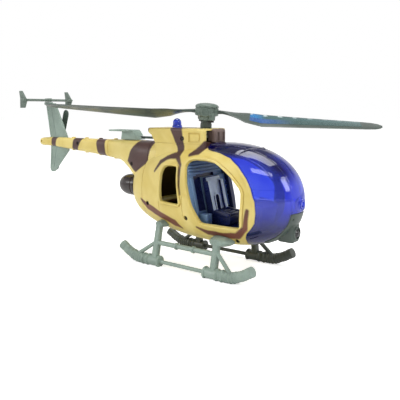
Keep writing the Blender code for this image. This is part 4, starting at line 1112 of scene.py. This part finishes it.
def skid():
    """The right landing skid with its struts, braces and step bar."""
    body = tube(sleeve_stations(1, 0), 36)
    fuse(body, tube(sleeve_stations(-1, -2.2), 36),
         rod((-25, SKID_Y, SKID_Z), (25, SKID_Y, SKID_Z), ROD_RADIUS))
    for offset in (23.4, 34.6, 39.6, -23.4, -34.6, -39.6):
        fuse(body, collar(offset - 1.1, SKID_Y, SKID_Z, 0.9, 0.5, SLEEVE_RADIUS + 0.4, 0.4, 40))
    keep_inside(body, box((-90, SKID_Y - 20, 0), (90, SKID_Y + 20, 50)))
    fuse(body, strut(STRUT_X, -26, 28), strut(-STRUT_X, -24, 34))
    fuse(body, strut_pad(STRUT_X, -28.4, 27.6, 6.6, 4.0, [(4.7, 5.0), (3.6, 1.2), (2.6, 0)], (2.1, 1, 2.0)))
    fuse(body, strut_pad(-STRUT_X, -25.8, 33.6, 6.0, 3.0, [(3.7, 4.6), (2.8, 1.0), (2.2, 0)], (1.5, 1, 2.0)))
    fuse(body, tube([((-STRUT_X, -27.8, STEP_Z), 2.0), ((STRUT_X, -28.4, STEP_Z), 2.0)]))
    fuse(body, *[collar(x, -28.1, STEP_Z, 1.0, 0.7, 2.8, 0.3) for x in (-8.5, 8.5)])
    fuse(body, tube([((STRUT_X + 1, -28.2, 21), 1.6), ((44.5, SKID_Y, 7.4), 1.7)]))
    fuse(body, tube([((-STRUT_X - 1, -28.2, 19), 1.6), ((-47, SKID_Y, 7.6), 1.7)]))
    return cut(body, egg(-0.15))


def skids():
    """The right skid, and the same mirrored for the far side in a darker grey, painted shade."""
    finish(skid(), "landing_skid_right", "grey")
    mirrored = skid()
    mirrored.data.transform(Matrix.Scale(-1, 4, (0, 1, 0)))
    mirrored.data.flip_normals()
    finish(mirrored, "landing_skid_left", "shade")


# ---------------------------------------------------------------- cockpit

def wall_x(z):
    """Face of the reclined bulkhead."""
    return 9.4 - (z - 36.4) * 0.2333


def leaning(y, z, half_y, half_z, proud, depth=1.5):
    """A block on the bulkhead's face that leans with it."""
    low, high = z - half_z, z + half_z
    outline = [(wall_x(low) - depth, low), (wall_x(low) + proud, low), (wall_x(high) + proud, high),
               (wall_x(high) - depth, high)]
    return side_prism(outline, y - half_y, y + half_y)


def with_painted_shade(item):
    """Give every face of a cutter the dark second material of the piece it cuts, painted shade."""
    item.data.materials.append(None)
    item.data.materials.append(MATERIALS["cockpit_shade"])
    for face in item.data.polygons:
        face.material_index = 1
    return item


def cockpit_tub():
    """Floor and reclined rear bulkhead with its ridges, recesses, columns, switches and side flange. The
    floor, the recesses, the slot, the switch pockets and the flange take the dark second material: painted
    shade.
    """
    wall = side_prism([(6.6, 36.4), (9.4, 36.4), (-3.2, 90.4), (-6.0, 90.4)], -40, 40)
    wall.data.materials.append(MATERIALS["interior"])
    wall.data.materials.append(MATERIALS["cockpit_shade"])
    floor_side = [(7, 34.4), (57.5, 34.4), (57.5, 36.4), (7, 36.8)]
    fuse(wall, with_painted_shade(soften(side_prism(floor_side, -40, 40), 0.4)))
    fuse(wall, *[soften(leaning(0, 77.0 + 2.6 * row, 25, 0.7, 1.3), 0.4) for row in range(5)])
    cut(wall, with_painted_shade(leaning(-13.9, 61, 4.2, 13.6, 4.0, 2.0)),
        with_painted_shade(leaning(-2.5, 74.3, 11.6, 1.3, 4.0, 2.0)))
    column = soften(leaning(17.8, 60, 7.2, 13.4, 1.8), 0.6)
    near_rib = soften(leaning(-21.4, 60, 1.4, 13.4, 1.2), 0.5)
    fuse(wall, column, near_rib)
    cut(wall, with_painted_shade(leaning(12.9, 59.5, 0.45, 11, 4.0, -0.8)))
    for y, z in SWITCHES:
        fuse(wall, soften(leaning(y, z, 1.7, 2.3, 2.5), 0.4))
        cut(wall, with_painted_shade(leaning(y, z, 0.8, 1.3, 4.0, -0.6)))
    fuse(wall, soften(box((9, -20.2, 36), (16, -13.4, 46)), 0.6))
    fuse(wall, *[soften(box((18, y - 1.2, 36), (46, y + 1.2, 38.4)), 0.5) for y in (-17, 17)])
    # The far side flange: a dark sheet, painted shade on the far wall's inside.
    fuse(wall, with_painted_shade(leaning(25, 64, 3.4, 26, 5.5)))
    keep_inside(wall, egg(WALL + GAP))
    cut(wall, *[rod((x, -60, z), (x, 60, z), 3.4) for x, z in SCREWS[:3]])
    finish(wall, "cockpit_tub", "interior", extra="cockpit_shade")


def pilot_seat():
    """Seat base and reclined back with bolsters and an arched slot."""
    side_view = [(9.8, 37.2), (29, 37.2), (30.5, 41), (30, 45), (17, 46.4), (12.6, 47.6), (6.6, 73.6),
                 (3.0, 72.8)]
    bolster = [(10.6, 46), (15.4, 47), (9.4, 71), (4.4, 70)]
    thigh_rest = [(13, 44), (29.2, 43), (29.6, 46.6), (15, 48.4)]
    seat = soften(side_prism(round_corners(side_view, 1), -9.6, 9.6), 0.9, 4)
    for y in (-8.4, 8.4):
        fuse(seat, soften(side_prism(bolster, y - 1.8, y + 1.8), 1.0, 4))
        fuse(seat, soften(side_prism(thigh_rest, y - 1.6, y + 1.6), 0.9, 4))
    fuse(seat, arch(3.6, 0.9))
    cut(seat, arch(2.2, 2.4))
    ribs = [box((x, -6, 44.6), (x + 3.6, 6, 47.2 - (x - 16) * 0.09)) for x in (17, 21.6, 26)]
    fuse(seat, *[soften(rib, 0.6) for rib in ribs])
    # The back's front face keeps the pale seat colour; the sides, the base and the cushion take the dark
    # second material, painted shade.
    for face in seat.data.polygons:
        is_pale = face.center.z >= BACK_FOOT_Z * MM and abs(face.normal.y) <= 0.9 and is_on_back(face)
        face.material_index = 0 if is_pale else 1
    finish(seat, "pilot_seat", "seat", extra="cockpit_shade")


def is_on_back(face):
    """Whether a face lies on the seat back's front surface."""
    x = (face.center.x - MAST_PIVOT.x) / MM
    return x > 12.6 - (face.center.z / MM - BACK_FOOT_Z) * 0.2308 - 0.3


def arch(half_width, proud):
    """An arched block across the seat back's front face."""
    tall = fuse(box((0, -half_width, 47), (30, half_width, 57)), rod((0, 0, 57), (30, 0, 57), half_width))
    front = [(12.7 + proud, 47), (10.4 + proud, 57), (9.3 + proud, 62), (5.0, 62), (8.5, 47)]
    return keep_inside(tall, side_prism(front, -9, 9))


def instrument_console():
    side_view = [(49, 37.2), (57, 37.2), (60.5, 55), (51.5, 58.4), (48.6, 55.6), (50.4, 52)]
    console = soften(side_prism(side_view, -11, 11), 1.0, 4)
    for side in (-1, 1):
        fuse(console, rod((50.0, side * 5, 56.6), (50.8, side * 5, 58.8), 3.0))
        y = side * 5.4
        cut(console, soften(box((46, y - 3.4, 43), (50.3, y + 3.4, 50)), 0.4))
    finish(console, "instrument_console", "interior")


# ---------------------------------------------------------------- main rotor

def rotor_mast():
    radius = MAST_RADIUS
    profile = [(0, 119.4), (2.4, 119.4), (2.4, 117.6), (4.3, 117.6), (radius, 117.3), (radius, 116.4),
               (4.3, 116.2),
               (4.3, 115.2), (radius, 115.0), (radius, 107.4), (1.5, 107.4), (1.5, 98.6), (0, 98.6)]
    finish(mast_turned(profile), "rotor_mast", "mast", "main_rotor")


def hub_frame(angle, reach):
    return mast_frame(0) @ Matrix.Rotation(angle, 4, "Z") @ Matrix.Translation((reach * MM, 0, 0))


def side_boss(angle, height, radius, reach):
    """A round boss that looks out of the hub's side, with a ring and a deep hole."""
    bottom = reach - 2.4
    profile = [(0, bottom), (0.85, bottom), (0.85, reach), (radius * 0.5, reach), (radius * 0.5, reach - 0.5),
               (radius * 0.72, reach - 0.5), (radius * 0.72, reach - 0.1)]
    profile += arc((radius - 0.3, reach - 0.4), 0.3, 90, 0, 3) + [(radius, 3), (0, 3)]
    placing = mast_frame(height) @ Matrix.Rotation(angle, 4, "Z") @ Matrix.Rotation(QUARTER, 4, "Y")
    return turned(profile, placing, 32)


def pin(radius, low, high):
    """The profile of a plain round pin."""
    return [(0, high), (radius, high), (radius, low), (0, low)]


def rotor_hub():
    """Lower half of the hub, with its collar, screw bosses, flutes and side bosses."""
    profile = [(0, HUB_SPLIT_Z), (HUB_RADIUS, HUB_SPLIT_Z), (HUB_RADIUS, 122.6)] + arc((8.5, 122.3), 0.8, 0,
                                                                                       -70, 4)
    profile += [(7.4, 121.1), (6.2, 120.7), (5.9, 120.1), (5.6, 117.9), (2.7, 117.9), (2.7, 119.7),
                (0, 119.7)]
    hub = mast_turned(profile, 96)
    top = HUB_SPLIT_Z - 0.5
    screw_boss = [(0, top), (2.7, top), (2.7, 118.5), (2.3, 118.1), (0, 118.1)]
    fuse(hub, *[turned(screw_boss, hub_frame(ROTOR_ANGLE + turn, 6.9), 32) for turn in HUB_SCREW_TURNS])
    places = [hub_frame(math.radians(angle), 10.0) for angle in (-112, -90, -36, 70, 98, 132, 156, 250)]
    cut(hub, group(*[turned(pin(1.3, 119, top), place, 24) for place in places]))
    fuse(hub, *[side_boss(math.radians(angle), 124.4, 3.4, 9.6) for angle in (-60, 120)])
    cut(hub, *[blade_socket(index) for index in (0, 1)])
    finish(hub, "rotor_hub", "hub", "main_rotor")


def rotor_hub_cap():
    low = HUB_SPLIT_Z + 0.12
    profile = [(0, 131.3), (3.0, 131.25), (5.6, 130.95), (7.4, 130.45), (8.6, 129.8), (9.15, 129.2),
               (HUB_RADIUS, 128.6), (HUB_RADIUS, 127.9), (8.9, 127.7), (8.9, 127.3), (HUB_RADIUS, 127.1),
               (HUB_RADIUS, low), (0, low)]
    cap = mast_turned(profile, 96)
    dimple = mast_turned([(0, 133), (2.6, 133), (2.6, 130.9), (0, 130.6)], 48)
    notches = [turned(pin(0.75, 127.2, 128.9), hub_frame(math.radians(30 * step), HUB_RADIUS), 12)
               for step in range(12)]
    notches.append(turned(pin(1.3, 124, 128.0), hub_frame(ROTOR_ANGLE + HUB_SCREW_TURNS[0], HUB_RADIUS), 24))
    cut(cap, dimple, group(*notches), *[blade_socket(index) for index in (0, 1)])
    finish(cap, "rotor_hub_cap", "hub", "main_rotor")


def blade_frame(index):
    """The frame of one blade: its X runs out along the span, at the hub's split."""
    return mast_frame(HUB_SPLIT_Z + GAP / 2) @ Matrix.Rotation(ROTOR_ANGLE + index * math.pi, 4, "Z")


def blade_socket(index):
    """The room for a blade's root in the hub."""
    middle = Matrix.Translation((8.1 * MM, 0, 0))
    matrix = blade_frame(index) @ middle @ Matrix.Diagonal((8.0 * MM, 3.4 * MM, 3.4 * MM, 1))
    return from_bmesh(lambda shape: bmesh.ops.create_cube(shape, size=1, matrix=matrix))


def blade_place(reach, across, up, pitch, drop):
    """A place on the blade, turned to its pitch."""
    turn = Matrix.Rotation(math.radians(pitch), 3, "X")
    return (turn @ Vector((reach, across, up)) - Vector((0, 0, drop))) * MM


def blade_stations():
    """The planform, with close stations between the given ones."""
    stations = []
    for first, second in zip(BLADE, BLADE[1:]):
        steps = max(int((second[0] - first[0]) / 3), 2)
        for step in range(steps):
            stations.append([a + (b - a) * step / steps for a, b in zip(first, second)])
    return stations + [BLADE[-1]]


def rotor_blade(index):
    placing = blade_frame(index)
    rings = []
    for reach, lead, trail, thickness, pitch, drop in blade_stations():
        outward = min(max((reach - 10) / 12, 0), 1)
        rings.append(oval_ring(
            28, (lead - trail) / 2, thickness / 2, 6 - 4 * outward,
            lambda across, up: placing @ blade_place(reach, across + (lead + trail) / 2, up, pitch, drop)))
    finish(loft(rings), f"rotor_blade_{index + 1}", "far", "main_rotor")


def blade_label(index):
    """A striped label on the blade's upper face."""
    placing = blade_frame(index)
    start, end = 34.5, 119.0
    columns, rows = 60, 10

    def spot(column, row):
        reach = start + (end - start) * column / columns
        lead, trail, thickness, pitch, drop = between(BLADE, reach)
        across = trail + 4.5 + (lead - trail - 6.0) * row / rows
        offset = (across - (lead + trail) / 2) / ((lead - trail) / 2)
        up = thickness / 2 * (1 - offset ** 2) ** 0.5 + 0.07
        return placing @ blade_place(reach, across, up, pitch, drop)

    def make(shape):
        layer = shape.loops.layers.uv.new("UVMap")
        grid = [[shape.verts.new(spot(column, row)) for row in range(rows + 1)]
                for column in range(columns + 1)]
        for column in range(columns):
            for row in range(rows):
                places = [(column, row), (column + 1, row), (column + 1, row + 1), (column, row + 1)]
                face = shape.faces.new([grid[across][up] for across, up in places])
                for loop, (across, up) in zip(face.loops, places):
                    loop[layer].uv = (across / columns, up / rows)

    label = from_bmesh(make)
    solid = label.modifiers.new("thickness", "SOLIDIFY")
    solid.thickness = 0.05 * MM
    dress(bake(label), f"blade_label_{index + 1}", "label", "main_rotor")


# ---------------------------------------------------------------- slider

def spin_lever():
    """The thumb plate with its ridges, and the body that runs in the boom's slot."""
    side_view = [(-93, 100), (-72, 100), (-77.2, 107), (-79.4, 108.6), (-106, 108.6), (-106, 107.1),
                 (-91.6, 107.1)]
    lever = soften(side_prism(side_view, -4.2, 6.2), 0.5, 4)
    plate = [(-106, 107.1), (-79.4, 107.1), (-79.4, 108.6), (-106, 108.6)]
    fuse(lever, soften(side_prism(plate, -6.8, 6.8), 0.5, 4))
    cut(lever,
        *[box((x, -5.4, 108.2), (x + 0.8, 5.4, 109)) for x in (2.4 * step - 104.4 for step in range(8))])
    neck = box((-90, -2.2, 94.6), (-76, 2.2, 101))
    foot = box((-90, -4.4, 94.4), (-76, 4.4, 96.6))
    fuse(lever, neck, foot)
    low, high = (corner.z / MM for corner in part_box("spin_rack"))
    cut(lever, box((-84.6, 2.0, low - GAP), (-60, 6.8, high + GAP)))
    finish(lever, "spin_lever", "grey", "thumb_slider")


def carried_over():
    """CAD nodes whose shape is right get their material here."""
    looks = {
        "spin_rack": "far", "idler_gear": "nylon", "drive_gear": "nylon", "gear_cradle": "nylon",
        "mast_bush": "nylon",
        "idler_axle": "bright", "tail_rotor_pin": "bright", "return_spring": "bright",
    }
    for name, item in frame["nodes"].items():
        if not item.hide_render:
            item.data.materials.clear()
            item.data.materials.append(MATERIALS[looks.get(name, "screw")])


# ---------------------------------------------------------------- studio

def floor():
    """White paper that shows pure white but casts none of its own light on the toy."""
    ground = from_bmesh(lambda shape: bmesh.ops.create_grid(shape, x_segments=8, y_segments=8, size=6))
    ground.name = "studio_floor"
    made, nodes, shader = shader_material("white_paper")
    nodes.put(shader.inputs["Base Color"],
              nodes.mix(nodes.noise(125), srgb(250, 250, 250), srgb(254, 254, 254)))
    set_inputs(shader, {"Roughness": 0.9, "Specular IOR Level": 0.1, "Emission Color": (1, 1, 1, 1)})
    seen = nodes.add("LightPath").outputs["Is Camera Ray"]
    nodes.put(shader.inputs["Emission Strength"], nodes.range(seen, 0, 1, 0, FLOOR_GLOW))
    ground.data.materials.append(made)


def area_light(name, place, aim, size, power):
    lamp = bpy.data.lights.new(name, "AREA")
    lamp.shape = "RECTANGLE"
    lamp.size, lamp.size_y = size
    lamp.energy = power
    turn = (Vector(place) - aim).to_track_quat("Z", "Y").to_matrix().to_4x4()
    add_object(name, lamp).matrix_world = Matrix.Translation(place) @ turn


def studio():
    """White walls that fade to a dim ceiling and a dim opening on the front right, with soft lamps."""
    world = bpy.data.worlds.new("studio")
    bpy.context.scene.world = world
    world.use_nodes = True
    nodes = Nodes(world.node_tree)
    x_ray, y_ray, z_ray = nodes.split(nodes.add("TexCoord").outputs["Generated"])
    ceiling = nodes.range(z_ray, 0.3, 0.75, 1.0, CEILING_LIGHT)
    toward = nodes.math("MULTIPLY_ADD", x_ray, 0.6, nodes.math("MULTIPLY", y_ray, -0.8))
    opening = nodes.range(toward, 0.35, 0.9, 1.0, OPENING_LIGHT)
    light = nodes.math("MULTIPLY", nodes.math("MULTIPLY", ceiling, opening), WALL_LIGHT)
    seen = nodes.add("LightPath").outputs["Is Camera Ray"]
    background = world.node_tree.nodes["Background"]
    nodes.put(background.inputs["Strength"], nodes.math("MAXIMUM", light, seen))
    set_inputs(background, {"Color": (1, 1, 1, 1)})
    for name, place, size, power in LAMPS:
        area_light(name, place, at(0, 0, 60), size, power)
    floor()


def camera():
    azimuth, elevation, roll = (math.radians(angle) for angle in (37.21, 10.03, -0.16))
    data = bpy.data.cameras.new("camera")
    data.lens = 45.73
    data.clip_start = 0.01
    item = add_object("camera", data)
    turn = Matrix.Rotation(azimuth, 4, "Z") @ Matrix.Rotation(QUARTER - elevation, 4, "X")
    turn = turn @ Matrix.Rotation(roll, 4, "Z")
    item.matrix_world = Matrix.Translation((0.29205, -0.32947, 0.12571)) @ turn
    bpy.context.scene.camera = item


camera()
body_shells()
windshield()
chin_fairing()
nose_camera_lens()
air_intake()
exhaust_nozzle()
beacon_lens()
tail_fin()
tail_stabiliser()
tail_rotor()
skids()
cockpit_tub()
pilot_seat()
instrument_console()
rotor_mast()
rotor_hub()
rotor_hub_cap()
for number in (0, 1):
    rotor_blade(number)
    blade_label(number)
spin_lever()
carried_over()
studio()
bpy.context.scene.view_settings.view_transform = "Standard"
